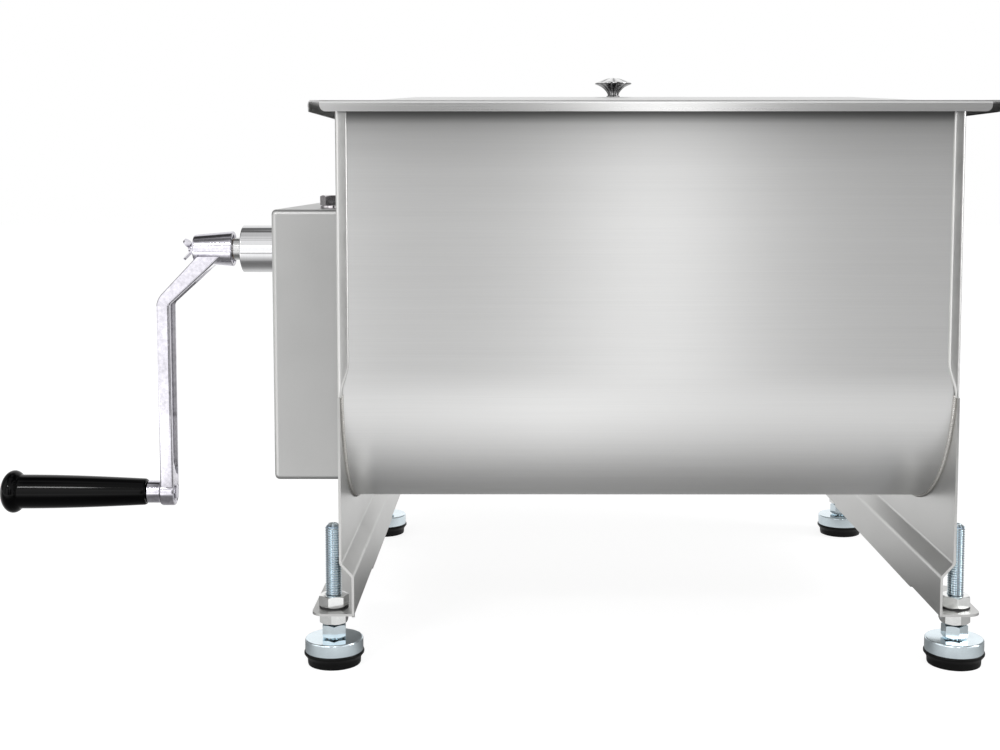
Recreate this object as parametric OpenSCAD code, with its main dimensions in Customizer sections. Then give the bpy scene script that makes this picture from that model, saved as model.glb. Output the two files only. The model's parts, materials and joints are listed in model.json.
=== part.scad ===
// Hand-cranked twin-shaft meat mixer, about 30 litres, millimetres.
// X runs along the shafts with the crank on the -X side, Y goes back from the front, Z is up.
// Every piece is worked out about the tank's middle, and place() then moves it to the row's origin.

/* [Tank] */
// Inside width between the two end plates
tank_w = 366; // [300:1:450]
// Thickness of the tank and end plate sheet
sheet_t = 1.5; // [1:0.1:2.5]
// Inside radius of each of the two bowls
bowl_r = 91.5; // [88:0.5:110]
// Height of the straight tank wall above the shafts
wall_h = 158; // [120:1:200]
// Height of the bowls' underside above the foot tabs
bowl_clear = 56.4; // [45:0.1:90]

/* [End plates] */
// Width of the flange that each end plate folds over the tank's front and back
plate_lip = 7; // [4:0.5:12]
// How far that flange stops below the shaft line
lip_drop = 16; // [5:1:30]
// How far the skirt is set in below the bend
skirt_inset = 7.4; // [3:0.1:12]
// Height of the skirt's bend above the foot tabs
bend_z = 33.4; // [25:0.1:42]
// Height over which the sheet bends inwards
bend_h = 8; // [4:0.5:14]
// Width of the tab that is left outside each stud's middle
tab_rim = 12; // [10:0.1:20]
// Length of each foot tab from front to back
tab_l = 62; // [40:1:90]
// Radius of the tab's outer corners
tab_r = 8; // [3:0.5:12]
// Distance of the tab from the plate's front edge
tab_back = 3; // [0:0.5:8]

/* [Feet] */
// Gap between each foot's stud and the end plate beside it
stud_clear = 0.7; // [0.4:0.1:3]
// Distance of each foot from the plate's front or back edge
foot_in = 18.5; // [14:0.5:40]
// Diameter of the foot's threaded stud
stud_d = 10; // [8:0.5:11]
// Length of the stud above its hexagon
stud_l = 62; // [45:1:90]
// Width across flats of the foot's own hexagon
foot_hex_af = 14; // [12:0.5:17]
// Height of the foot's own hexagon
foot_hex_h = 8; // [5:0.5:11]
// Gap above and below that hexagon
foot_hex_gap = 0.7; // [0.6:0.1:1.5]
// Diameter of the ball that the cup turns on
ball_d = 10; // [9:0.2:11]
// Diameter of the steel cup
cup_d = 35.5; // [28:0.5:50]
// Height of the steel cup
cup_h = 8.7; // [7.5:0.1:12]
// Height of the rubber pad under the cup
pad_h = 7.5; // [4:0.5:12]
// How much narrower than the cup the rubber pad is at the floor
pad_taper = 3.2; // [1:0.1:5]
// Thickness of the rubber lip round the cup
pad_lip = 0.6; // [0.4:0.1:2]
// Width across flats of the nuts that clamp the tab
nut_af = 16; // [13:0.5:18]
// Height of the nuts that clamp the tab
nut_h = 8; // [5:0.5:10]

/* [Lid] */
// How far the lid reaches past each end plate
lid_side = 18.2; // [14:0.2:50]
// How far the lid reaches past the end plates' front and back edges
lid_front = 7; // [5:0.5:20]
// Thickness of the lid's sheet
lid_t = 1; // [0.8:0.1:2]
// Height of the lid's edge flanges
lid_edge = 7.2; // [5:0.2:20]
// How far the lid's flanges stop short of its corners
lid_notch = 8; // [4:0.5:20]
// Rise of the crowned lid towards its middle
crown_h = 11.2; // [5:0.2:20]
// How far the flat ridge on top of the crown stops short of the crown's ends
ridge_in = 28; // [12:1:60]
// Width of the flat ridge on top of the crown
ridge_w = 16; // [12:1:40]
// Width of the lid's flat border inside the tank wall
lid_border = 5; // [2:0.5:20]
// How far to the right of the tank's middle the loose lid lies
lid_shift = 2.5; // [0:0.5:5]
// Gap between the lid and the tank's rim
lid_gap = 0.2; // [0.1:0.1:0.5]
// Diameter of the lid's knob
knob_d = 26.4; // [18:0.2:40]
// Height of the lid's knob
knob_h = 14; // [11:0.5:24]
// Distance of the knob to the left of the tank's middle
knob_left = 10.9; // [0:0.1:20]

/* [Gear case] */
// Room in the gear case beside the gear nuts
case_room = 9.85; // [9:0.05:20]
// Thickness of the gear case's sheet
case_sheet = 1.5; // [1:0.1:2.5]
// Room in front of and behind the gears
case_end_room = 5.15; // [3:0.05:20]
// Room above the pinion
case_top_room = 3.25; // [2:0.05:12]
// Room below the gears
case_low_room = 24.65; // [21:0.05:32]
// Radius of the gear case's long edges
case_r = 3; // [1:0.5:6]
// Distance of the case bolts' washers from the end plate
bolt_gap = 0.5; // [0.2:0.1:3]
// Distance of the case bolts from the case's front and back
bolt_in = 30; // [20:1:38]
// Diameter of the case bolts
bolt_d = 10; // [6:0.5:10]
// Width across flats of the case bolts' heads
bolt_af = 16; // [13:0.5:17]
// Height of the case bolts' heads
bolt_head = 6.4; // [4:0.2:8]
// Diameter of the washers under the case bolts
washer_d = 18; // [14:0.5:18]
// Thickness of those washers
washer_t = 2; // [1:0.1:3]
// Thickness of the angle brackets inside the case
bracket_t = 3; // [2:0.5:5]
// Width of the angle brackets inside the case
bracket_w = 22; // [18:1:30]

/* [Gears] */
// Module of all the gears
gear_m = 3; // [2.9:0.05:3.1]
// Teeth on each mixing shaft's gear
shaft_teeth = 30; // [29:1:30]
// Teeth on the idler
idler_teeth = 26; // [26:1:26]
// Teeth on the crank's pinion
pinion_teeth = 16; // [15:1:16]
// Width of the gears' teeth
gear_w = 12; // [8:0.5:16]
// Play between meshing teeth
gear_play = 0.4; // [0.3:0.05:0.8]
// Gap between the pinion's clip and the crank's pilot bearing
gear_gap = 0.3; // [0.2:0.1:3]

/* [Shafts and bearings] */
// Diameter of the mixing shafts
shaft_d = 20; // [16:0.5:24]
// Width of each of the two steps at the mixing shaft's geared end
shaft_step = 2; // [1:0.5:2]
// Length of the bearing bosses and of the crank's pilot
boss_l = 12; // [9:0.5:16]
// Wall of the bearing bosses round the bushes
boss_wall = 8; // [4:0.5:12]
// Wall of the bronze bushes
bush_wall = 4; // [2:0.5:6]
// Thickness of the rubber seals inside the tank
seal_t = 4; // [2:0.5:8]
// Width of the rubber seals' ring
seal_wall = 7; // [4:0.5:10]
// How far the right bearing cups stand out
cup_out = 18; // [14:0.5:24]
// Wall of the right bearing cups
cup_wall = 4; // [2:0.5:6]
// Thickness of the right bearing cups' flange
flange_t = 3; // [2:0.5:6]
// Diameter of the weld studs round each cup
weld_stud_d = 6; // [4:0.5:6]
// Width across flats of the nuts on the weld studs
weld_nut_af = 10; // [8:0.5:10]
// Radial running play of every shaft
run_gap = 0.05; // [0.02:0.01:0.08]

/* [Paddles] */
// Number of paddles on each shaft
paddle_n = 6; // [3:1:6]
// Distance between the paddles' tips and the bowl
paddle_gap = 3.5; // [3:0.5:12]
// Width of each paddle's blade
blade_w = 30; // [20:1:32]
// Height of each paddle's blade
blade_h = 38; // [20:1:50]
// Thickness of each paddle's blade
blade_t = 3; // [2:0.5:5]
// Angle of each blade to its shaft
blade_turn = 45; // [40:1:60]
// Diameter of the arm that carries each blade
arm_d = 10; // [6:0.5:12]
// Outside diameter of each paddle's hub
paddle_hub_d = 32; // [28:1:40]
// Length of each paddle's hub
paddle_hub_l = 20; // [14:1:24]
// Diameter of the pin through each paddle's hub
pin_d = 4; // [3:0.5:5]

/* [Crank] */
// Diameter of the crankshaft
crank_d = 16; // [14:0.5:18]
// How far the polished collar stands out round its neck
collar_step = 2.7; // [1.5:0.1:5]
// Length of the collar outside the gear case
collar_l = 44; // [30:1:70]
// Wall of the collar's bronze bush
collar_bush = 2.5; // [1.5:0.5:3]
// Gap between the collar and the crank's hub
hub_gap = 6.7; // [0.5:0.1:12]
// Length of the crank's hub
hub_l = 28.3; // [24:0.1:40]
// Diameter of the hub towards the collar
hub_d = 25.3; // [23:0.1:32]
// Diameter of the hub at its outer end
hub_end_d = 20.4; // [18:0.2:28]
// Radius of the crank from its shaft to the handle
crank_r = 175.5; // [140:0.5:180]
// How far the arm's elbow lies below the shaft
elbow_drop = 37.4; // [30:0.2:60]
// How far outwards the arm's elbow lies from the hub's middle
elbow_out = 35.15; // [25:0.05:50]
// Thickness of the arm
arm_t = 9.3; // [7:0.1:12]
// Width of the arm at the hub
arm_w = 23; // [14:1:25]
// Width of the arm at the handle
arm_end_w = 19; // [12:1:22]
// Diameter of the boss that holds the spindle
eye_d = 19.5; // [16:0.5:26]
// Length of that boss
eye_l = 9.8; // [8:0.1:20]
// Diameter of the spindle
spindle_d = 8; // [6:0.5:9]
// Diameter of the spindle's shoulder
shoulder_d = 16; // [12:0.5:18]
// Length of the spindle's shoulder
shoulder_l = 10.5; // [4:0.1:14]

/* [Grip] */
// Length of the grip
grip_l = 105.5; // [80:0.5:120]
// Diameter of the grip beside the arm
grip_d = 19; // [16:0.2:26]
// Diameter of the grip where it meets the knob at its end
grip_wide_d = 24.4; // [18:0.2:30]
// Diameter of the round knob at the grip's end
bulb_d = 30.6; // [26:0.2:36]
// Gap between the grip and the spindle's shoulder
grip_gap = 0.4; // [0.3:0.1:1]

/* [Hidden] */
$fn = 64;
cut = 1;
press_gap = 0.02;
key_w = 5;
clip_t = 1.2;
clip_wall = 3;
clip_gap = 0.15;
groove_play = 0.1;

// Heights above the floor, from the pads up
cup_z = pad_h;
hex_z = cup_z + cup_h + foot_hex_gap;
tab_z = hex_z + foot_hex_h + foot_hex_gap + nut_h;
tab_top = tab_z + sheet_t;
axis_z = tab_z + bowl_clear + sheet_t + bowl_r;
tank_top = axis_z + wall_h;
crank_z = axis_z + gear_m * (idler_teeth + pinion_teeth) / 2;
handle_z = crank_z - crank_r;
ball_drop = 0.36 * ball_d;
ball_neck_r = 0.26 * ball_d;
ball_mouth_r = 0.42 * ball_d;
pad_d = cup_d - pad_taper;
ball_z = cup_z + cup_h - ball_drop;

// Distances from front to back
shaft_y = gear_m * (shaft_teeth + idler_teeth) / 2;
tank_y = shaft_y + bowl_r + sheet_t;
plate_y = tank_y + sheet_t;
foot_y = plate_y - foot_in;

// Distances along the shafts, positive to the right
gear_seat_d = shaft_d - 2 * shaft_step;
gear_thread_d = gear_seat_d - 2 * shaft_step;
gear_nut_h = 0.5 * gear_thread_d;
thread_end = 2;
plate_in = tank_w / 2;
plate_out = plate_in + sheet_t;
skirt_out = plate_out - skirt_inset;
foot_out = stud_clear + max(skirt_inset + stud_d / 2, hex_r(nut_af));
foot_x = skirt_out + foot_out;
tab_w = foot_out + tab_rim;
case_t = boss_l + gear_gap + clip_t + clip_gap + gear_w + gear_nut_h + thread_end + case_room + case_sheet;
boss_x = -plate_out - boss_l;
gear_right = boss_x - gear_gap - clip_t - clip_gap;
gear_left = gear_right - gear_w;
case_x = -plate_out - case_t;
collar_x = case_x - collar_l;
hub_right = collar_x - hub_gap;
hub_left = hub_right - hub_l;
elbow_x = (hub_left + hub_right) / 2 - elbow_out;
elbow_z = crank_z - elbow_drop;
eye_right = elbow_x + arm_t / 2;
eye_left = eye_right - eye_l;
shoulder_x = eye_left - shoulder_l;
grip_right = shoulder_x - grip_gap;
grip_left = grip_right - grip_l;

// Gear case, shafts and bearings
case_l = 2 * (shaft_y + tip_r(shaft_teeth) + case_end_room + case_sheet);
case_up = crank_z - axis_z + tip_r(pinion_teeth) + case_top_room + case_sheet;
case_down = tip_r(shaft_teeth) + case_low_room + case_sheet;
bolt_out = washer_d / 2 + bolt_gap;
bolt_y = case_l / 2 - bolt_in;
bush_r = shaft_d / 2 + bush_wall;
boss_d = 2 * (bush_r + boss_wall);
nut_room = 1.2;
stud_ring_r = bush_r + cup_wall + hex_r(weld_nut_af) + nut_room;
flange_d = 2 * (stud_ring_r + hex_r(weld_nut_af) + nut_room);
cup_floor = 3;
shaft_end = plate_out + cup_out - cup_floor - 1;
crank_r_in = crank_d / 2 + run_gap;
collar_bore_r = crank_r_in + collar_bush;
collar_wall = 3.5;
collar_neck_r = collar_bore_r + collar_wall;
collar_d = 2 * (collar_neck_r + collar_step);

// Paddles and lid
paddle_end = 15;
paddle_pitch = (tank_w - 2 * paddle_end) / paddle_n;
paddle_r = bowl_r - paddle_gap;
lid_w = 2 * (plate_out + lid_side);
lid_d = 2 * (plate_y + lid_front);
crown_x = plate_in - lid_border;
crown_y = plate_y - sheet_t - lid_border;
ridge_l = 2 * (crown_x - ridge_in);

// The part's reach, for an origin at the middle of its base
reach_right = max(lid_shift + lid_w / 2, skirt_out + tab_w, foot_x + max(pad_d / 2, cup_d / 2 + pad_lip));
middle_x = (grip_left + reach_right) / 2;
module place() translate([-middle_x, 0, 0]) children();

// Shared shapes
module x_rod(r, x0, x1) translate([x0, 0, 0]) rotate([0, 90, 0]) cylinder(r = r, h = x1 - x0);
module x_cone(r0, r1, x0, x1) translate([x0, 0, 0]) rotate([0, 90, 0]) cylinder(r1 = r0, r2 = r1, h = x1 - x0);
module x_ring(r_out, r_in, x0, x1) difference() {
  x_rod(r_out, x0, x1);
  x_rod(r_in, x0 - cut, x1 + cut);
}
module x_hex(af, x0, x1) translate([x0, 0, 0]) rotate([0, 90, 0]) cylinder(r = hex_r(af), h = x1 - x0, $fn = 6);
module z_hex(af, h) cylinder(r = hex_r(af), h = h, $fn = 6);
module side_view(l) rotate([90, 0, 90]) linear_extrude(height = l) children();
module front_view(l) rotate([90, 0, 0]) linear_extrude(height = l, center = true) children();
module round_rect(w, h, r) {
  translate([r, 0]) square([w - 2 * r, h]);
  translate([0, r]) square([w, h - 2 * r]);
  for (x = [r, w - r], y = [r, h - r]) translate([x, y]) circle(r = r);
}
module each_shaft() for (s = [-1, 1]) translate([0, s * shaft_y, axis_z]) children();
module each_foot() for (x = [-foot_x, foot_x], y = [-foot_y, foot_y]) translate([x, y, 0]) children();
module each_case_bolt() for (y = [-bolt_y, bolt_y])
  translate([-plate_out - bolt_out, y, axis_z + case_up]) children();
module each_case_rest() for (y = [-bolt_y, bolt_y])
  translate([-plate_out - bolt_out, y, axis_z - case_down]) mirror([0, 0, 1]) children();
module each_weld_stud() each_shaft() for (a = [45:90:315]) rotate([a, 0, 0])
  translate([plate_out, 0, stud_ring_r]) children();
function hex_r(af) = af / sqrt(3);

// Tank and end plates
module bowl_shape(r) {
  for (s = [-1, 1]) translate([s * shaft_y, 0]) circle(r = r, $fn = 128);
  translate([-shaft_y - r, 0]) square([2 * (shaft_y + r), wall_h]);
}
module tank() color("silver") translate([-plate_in, 0, axis_z]) side_view(tank_w) difference() {
  union() {
    bowl_shape(bowl_r + sheet_t);
    // Floor between the bowls where they are too small to meet
    translate([-shaft_y, -sheet_t]) square([2 * shaft_y, wall_h]);
  }
  bowl_shape(bowl_r);
  translate([-shaft_y - bowl_r, wall_h - cut]) square([2 * (shaft_y + bowl_r), 2 * cut]);
}
bend_skew = 0.4 * sheet_t;
module plate_section() polygon([
  [plate_in, tank_top], [plate_in, tab_z + bend_z], [plate_in - skirt_inset, tab_z + bend_z - bend_h],
  [plate_in - skirt_inset, tab_z], [skirt_out, tab_z],
  [skirt_out, tab_z + bend_z - bend_h - bend_skew], [plate_out, tab_z + bend_z - bend_skew],
  [plate_out, tank_top]
]);
lip_z = axis_z - lip_drop;
module lip_shape() polygon([
  [plate_out - cut, tank_top], [plate_in - plate_lip, tank_top], [plate_in - plate_lip, lip_z + 3 * plate_lip],
  [plate_in - plate_lip / 2, lip_z + plate_lip], [plate_in, lip_z], [plate_out - cut, lip_z]
]);
module tab_shape() difference() {
  union() {
    translate([-cut, 0]) square([tab_w - tab_r + cut, tab_l]);
    translate([0, tab_r]) square([tab_w, tab_l - 2 * tab_r]);
    for (y = [tab_r, tab_l - tab_r]) translate([tab_w - tab_r, y]) circle(r = tab_r);
  }
  translate([foot_out, foot_in - tab_back]) circle(d = stud_d + 1);
}
module end_plate(hole_r) difference() {
  union() {
    front_view(2 * plate_y) plate_section();
    for (s = [-1, 1]) {
      translate([0, s * (plate_y - sheet_t / 2), 0]) front_view(sheet_t) lip_shape();
      mirror([0, s > 0 ? 1 : 0, 0]) translate([skirt_out, tab_back - plate_y, tab_z])
        linear_extrude(height = sheet_t) tab_shape();
    }
  }
  each_shaft() x_rod(hole_r, plate_in - cut, plate_out + cut);
}
module left_end_plate() color("lightgray") mirror([1, 0, 0]) end_plate(bush_r + press_gap);
module right_end_plate() color("lightgray") end_plate(shaft_d / 2 + cut);

// Gear case and what holds it
case_h = case_up + case_down;
module gear_case() color("darkgray") difference() {
  translate([case_x, -case_l / 2, axis_z - case_down]) side_view(case_t) round_rect(case_l, case_h, case_r);
  translate([case_x + case_sheet, -case_l / 2 + case_sheet, axis_z - case_down + case_sheet])
    side_view(case_t) round_rect(case_l - 2 * case_sheet, case_h - 2 * case_sheet, case_r / 2);
  translate([0, 0, crank_z]) x_rod(collar_neck_r + press_gap, case_x - cut, case_x + case_sheet + cut);
  each_case_bolt() translate([0, 0, -case_sheet - cut]) cylinder(d = bolt_d + 1, h = case_sheet + 2 * cut);
}
bracket_l = bolt_out + bolt_d;
module bracket() {
  translate([bolt_out - bracket_l, -bracket_w / 2, -bracket_t]) cube([bracket_l, bracket_w, bracket_t]);
  translate([bolt_out - bracket_t, -bracket_w / 2, -bracket_w]) cube([bracket_t, bracket_w, bracket_w]);
}
// Bolts go through the upper brackets; the case's floor hooks under the lower ones
module case_brackets() color("silver") {
  each_case_rest() translate([0, 0, -case_sheet]) bracket();
  each_case_bolt() translate([0, 0, -case_sheet]) difference() {
    bracket();
    translate([0, 0, -bracket_t - cut]) cylinder(d = bolt_d + 2 * press_gap, h = bracket_t + 2 * cut);
  }
}
bolt_shank = case_sheet + bracket_t + 5;
module case_bolts() color("dimgray") each_case_bolt() translate([0, 0, washer_t]) {
  rotate([0, 0, 90]) z_hex(bolt_af, bolt_head);
  translate([0, 0, -washer_t - bolt_shank]) cylinder(d = bolt_d, h = washer_t + bolt_shank);
}
module case_washers() color("dimgray") each_case_bolt() difference() {
  cylinder(d = washer_d, h = washer_t);
  translate([0, 0, -cut]) cylinder(d = bolt_d + 2 * press_gap, h = washer_t + 2 * cut);
}

// Collar that carries the crankshaft
collar_nut_t = 6;
collar_nut_rim = 4;
collar_edge = 0.8;
collar_end = case_x + case_sheet + collar_nut_t + 1;
module at_crank() translate([0, 0, crank_z]) children();
module crank_collar() color("gainsboro") at_crank() difference() {
  union() {
    x_cone(collar_d / 2 - collar_edge, collar_d / 2, collar_x, collar_x + collar_edge);
    x_rod(collar_d / 2, collar_x + collar_edge, case_x);
    x_rod(collar_neck_r, case_x - cut, collar_end);
  }
  x_rod(collar_bore_r, collar_x - cut, collar_end + cut);
}
module collar_nut() color("silver") at_crank() difference() {
  x_hex(2 * (collar_neck_r + collar_nut_rim), case_x + case_sheet, case_x + case_sheet + collar_nut_t);
  x_rod(collar_neck_r + press_gap, case_x, case_x + case_sheet + collar_nut_t + cut);
}
module crank_bush() color("peru") at_crank()
  x_ring(collar_bore_r - press_gap, crank_r_in, collar_x + 1, collar_end);

// Bearings on the left end plate
pilot_floor = 3;
pilot_wall = 6;
clip_seat = 0.3;
module crank_pilot() color("silver") at_crank() difference() {
  x_rod(crank_r_in + pilot_wall, boss_x, -plate_out);
  x_rod(crank_r_in, boss_x - cut, -plate_out - pilot_floor);
}
module at_idler() translate([0, 0, axis_z]) children();
idler_r = crank_d / 2;
clip_x = gear_left - clip_t - clip_gap;
module clip_groove(x0, r) x_ring(r + cut, r - 1, x0 - groove_play, x0 + clip_t + groove_play);
module idler_axle() color("silver") at_idler() difference() {
  union() {
    x_rod(idler_r + pilot_wall, gear_right + clip_seat, -plate_out);
    x_rod(idler_r, clip_x - clip_wall, gear_right + clip_seat + cut);
  }
  clip_groove(clip_x, idler_r);
}
module snap_ring(x0, r) difference() {
  x_ring(r + clip_wall - 1, r - 1 + press_gap, x0, x0 + clip_t);
  translate([x0 - cut, -2, r - 2]) cube([clip_t + 2 * cut, 4, clip_wall + cut + 2]);
}
module idler_clip() color("dimgray") at_idler() snap_ring(clip_x, idler_r);
module left_bearing_bosses() color("silver") each_shaft()
  x_ring(boss_d / 2, bush_r + press_gap, boss_x, -plate_out);
module left_bearing_bushes() color("peru") each_shaft()
  x_ring(bush_r, shaft_d / 2 + run_gap, boss_x, -plate_in);
module shaft_seals() color("black") each_shaft() {
  x_ring(shaft_d / 2 + seal_wall, shaft_d / 2 + run_gap, -plate_in, -plate_in + seal_t);
  x_ring(shaft_d / 2 + seal_wall, shaft_d / 2 + run_gap, plate_in - seal_t, plate_in);
}

// Bearings on the right end plate
module right_bearing_cups() color("silver") each_shaft() difference() {
  union() {
    x_rod(flange_d / 2, plate_out, plate_out + flange_t);
    x_rod(bush_r + cup_wall, plate_out, plate_out + cup_out);
  }
  x_rod(bush_r + press_gap, plate_out - cut, plate_out + cup_out - cup_floor);
  for (a = [45:90:315]) rotate([a, 0, 0]) translate([0, 0, stud_ring_r])
    x_rod(weld_stud_d / 2 + press_gap, plate_out - cut, plate_out + flange_t + cut);
}
module right_bearing_bushes() color("peru") each_shaft()
  x_ring(bush_r, shaft_d / 2 + run_gap, plate_out, plate_out + cup_out - cup_floor);
weld_nut_h = 0.8 * weld_stud_d;
module cup_studs() color("silver") each_weld_stud() x_rod(weld_stud_d / 2, 0, flange_t + weld_nut_h + 2);
module cup_nuts() color("silver") each_weld_stud() difference() {
  x_hex(weld_nut_af, flange_t, flange_t + weld_nut_h);
  x_rod(weld_stud_d / 2 + press_gap, flange_t - cut, flange_t + weld_nut_h + cut);
}

// Gears: involute teeth at a 20 degree pressure angle
press_angle = 20;
function inv_deg(a) = tan(a) * 180 / PI - a;
function pitch_r(n) = gear_m * n / 2;
function base_r(n) = pitch_r(n) * cos(press_angle);
function tip_r(n) = pitch_r(n) + 0.95 * gear_m;
function root_r(n) = pitch_r(n) - 1.25 * gear_m;
function half_tooth(n) = 90 / n - gear_play / 4 / pitch_r(n) * 180 / PI;
function flank_angle(n, r) = half_tooth(n) + inv_deg(press_angle) - inv_deg(acos(min(1, base_r(n) / r)));
function flank_r(n, k) = k == 0 ? root_r(n) : let(low = max(base_r(n), root_r(n)))
  low + (tip_r(n) - low) * (k - 1) / flank_steps;
function polar(r, a) = [r * cos(a), r * sin(a)];
flank_steps = 4;
function gear_points(n, phase) = [
  for (i = [0:n - 1], s = [-1, 1], k = [0:flank_steps + 1])
    let(r = flank_r(n, s < 0 ? k : flank_steps + 1 - k))
      polar(r, phase + 360 * i / n + s * flank_angle(n, r))
];
// Turns a gear so that it meshes with a gear of lead_n teeth that sees it at the angle at
function mesh_phase(at, lead_n, n) = at + 180 - 360 / n * (0.5 - at * lead_n / 360);
module spur(n, phase, hole_r) translate([gear_left, 0, 0]) difference() {
  side_view(gear_w) polygon(gear_points(n, phase));
  x_rod(hole_r, -cut, gear_w + cut);
}
module key_slot(r) translate([gear_left - cut, -key_w / 2, r - key_w / 2])
  cube([gear_w + 2 * cut, key_w, key_w]);
module shaft_key(r) translate([gear_left, -key_w / 2 + press_gap, r - key_w / 2 + press_gap])
  cube([gear_w, key_w - 2 * press_gap, key_w - 2 * press_gap]);
idler_bush_wall = 3;
idler_bush_r = idler_r + idler_bush_wall;
module idler_gear() color("dimgray") at_idler() spur(idler_teeth, 0, idler_bush_r + press_gap);
module idler_bush() color("peru") at_idler() x_ring(idler_bush_r, idler_r + run_gap, gear_left, gear_right);

// Crankshaft with its pinion
module crankshaft() color("gainsboro") at_crank() difference() {
  x_rod(crank_d / 2, hub_left + hub_cap, -plate_out - pilot_floor - 0.5);
  key_slot(crank_d / 2);
  for (x = [clip_x, gear_right + clip_gap])
    clip_groove(x, crank_d / 2);
  x_rod(wing_thread_d / 2 + press_gap, hub_left, hub_left + wing_thread_l + cut);
}
module crank_pinion() color("dimgray") at_crank() difference() {
  spur(pinion_teeth, mesh_phase(90, idler_teeth, pinion_teeth), crank_d / 2 + press_gap);
  key_slot(crank_d / 2);
}
module pinion_key() color("silver") at_crank() shaft_key(crank_d / 2);
module pinion_clips() color("dimgray") at_crank() for (x = [clip_x, gear_right + clip_gap])
  snap_ring(x, crank_d / 2);

// Cast crank arm
hub_cap = 4;
hub_mouth = 2;
arm_shift = 2.2;
module y_bar(r, w) rotate([90, 0, 0]) cylinder(r = r, h = w, center = true, $fn = 32);
module crank_arm() color("gainsboro") difference() {
  union() {
    at_crank() x_cone(hub_end_d / 2, hub_d / 2, hub_left, hub_right);
    hull() {
      translate([(hub_left + hub_right) / 2 - arm_shift, 0, crank_z - hub_end_d / 3]) y_bar(arm_t * 0.6, arm_w);
      translate([elbow_x, 0, elbow_z]) y_bar(arm_t / 2, arm_w);
    }
    hull() {
      translate([elbow_x, 0, elbow_z]) y_bar(arm_t / 2, arm_w);
      translate([elbow_x, 0, handle_z + eye_d / 3]) y_bar(arm_t / 2, arm_end_w);
    }
    translate([0, 0, handle_z]) x_rod(eye_d / 2, eye_left, eye_right);
  }
  at_crank() x_rod(crank_d / 2 + press_gap, hub_left + hub_cap - 0.1, hub_right + cut);
  at_crank() x_rod(wing_thread_d / 2 + 0.3, hub_left - cut, hub_left + hub_cap);
  at_crank() x_cone(crank_d / 2, crank_d / 2 + hub_mouth, hub_right - hub_mouth, hub_right + press_gap);
  translate([0, 0, handle_z]) x_rod(spindle_d / 2 + press_gap, eye_left - cut, eye_right + cut);
}
wing_thread_d = 6;
wing_thread_l = 16;
wing_l = 9;
wing_w = 7;
wing_t = 2.4;
wing_hub_r = 5;
wing_splay = 53;
module crank_wing_screw() color("silver") at_crank() rotate([18, 0, 0]) {
  x_rod(wing_thread_d / 2, hub_left - 1, hub_left + wing_thread_l);
  x_rod(wing_hub_r, hub_left - 4, hub_left - 0.1);
  for (s = [-1, 1]) translate([hub_left - 3, 0, s * 2]) rotate([0, -s * wing_splay, 0])
    translate([-wing_t / 2, -wing_w / 2, s > 0 ? 0 : -wing_l]) cube([wing_t, wing_w, wing_l]);
}
rivet_r = spindle_d / 2 + 1;
spindle_end = grip_left + bulb_d / 2;
module grip_spindle() color("gainsboro") translate([0, 0, handle_z]) {
  x_rod(spindle_d / 2, spindle_end, eye_right + 0.5);
  x_rod(rivet_r, eye_right, eye_right + 1);
  x_rod(shoulder_d / 2, shoulder_x, eye_left);
}

// Turned grip: a taper that swells towards a round knob at its end
bulb_l = 0.53 * bulb_d;
bulb_half = 0.3 * bulb_d;
function grip_r(u) = grip_d / 2 + (grip_wide_d - grip_d) / 2 * sin(90 * u);
module grip_outline() polygon(concat(
  [[0, 0], [grip_d / 2 - 1, 0]],
  [for (u = [0:0.125:1]) [grip_r(u), 1.5 + u * (grip_l - bulb_l - 1.5)]],
  [for (a = [-38:9.5:76]) [bulb_d / 2 * cos(a), grip_l - bulb_half + bulb_half * sin(a)]],
  [[0, grip_l]]
));
module handle_grip() color("black") translate([grip_right, 0, handle_z]) difference() {
  rotate([0, -90, 0]) rotate_extrude() grip_outline();
  x_rod(spindle_d / 2 + run_gap, spindle_end - grip_right - 0.5, cut);
}

// Mixing shafts, shared by the front and the rear one
gear_nut_rim = 3.5;
module mixing_shaft(side) difference() {
  union() {
    x_rod(shaft_d / 2, gear_right, shaft_end);
    x_rod(gear_seat_d / 2, gear_left + 0.5, gear_right + cut);
    x_rod(gear_thread_d / 2, gear_left - gear_nut_h - thread_end, gear_left + cut);
  }
  key_slot(gear_seat_d / 2);
  for (i = [0:paddle_n - 1]) at_paddle(i, side) rotate([90, 0, 0])
    cylinder(d = pin_d, h = shaft_d + 2 * cut, center = true);
}
module shaft_gear(at) difference() {
  spur(shaft_teeth, mesh_phase(at, idler_teeth, shaft_teeth), gear_seat_d / 2 + press_gap);
  key_slot(gear_seat_d / 2);
}
module gear_nut() difference() {
  x_hex(gear_thread_d + 2 * gear_nut_rim, gear_left - gear_nut_h, gear_left);
  x_rod(gear_thread_d / 2 + press_gap, gear_left - gear_nut_h - cut, gear_left + cut);
}
// Paddle places lie half a pitch apart on the two shafts, so that the blades pass each other
function paddle_x(i, side) = (i - (paddle_n - 1) / 2) * paddle_pitch + side * paddle_pitch / 4;
module at_paddle(i, side) translate([paddle_x(i, side), 0, 0]) rotate([90 * i, 0, 0]) children();
module paddle() difference() {
  union() {
    x_rod(paddle_hub_d / 2, -paddle_hub_l / 2, paddle_hub_l / 2);
    cylinder(d = arm_d, h = paddle_r - blade_h / 2);
    rotate([0, 0, blade_turn]) translate([-blade_w / 2, -blade_t / 2, paddle_r - blade_h])
      cube([blade_w, blade_t, blade_h]);
  }
  x_rod(shaft_d / 2 + press_gap, -paddle_hub_l, paddle_hub_l);
  rotate([90, 0, 0]) cylinder(d = pin_d, h = paddle_hub_d + 2 * cut, center = true);
}
module paddles(side) for (i = [0:paddle_n - 1]) at_paddle(i, side) paddle();
module paddle_pins(side) for (i = [0:paddle_n - 1]) at_paddle(i, side) rotate([90, 0, 0])
  cylinder(d = pin_d - 2 * press_gap, h = paddle_hub_d - 1, center = true);
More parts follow.
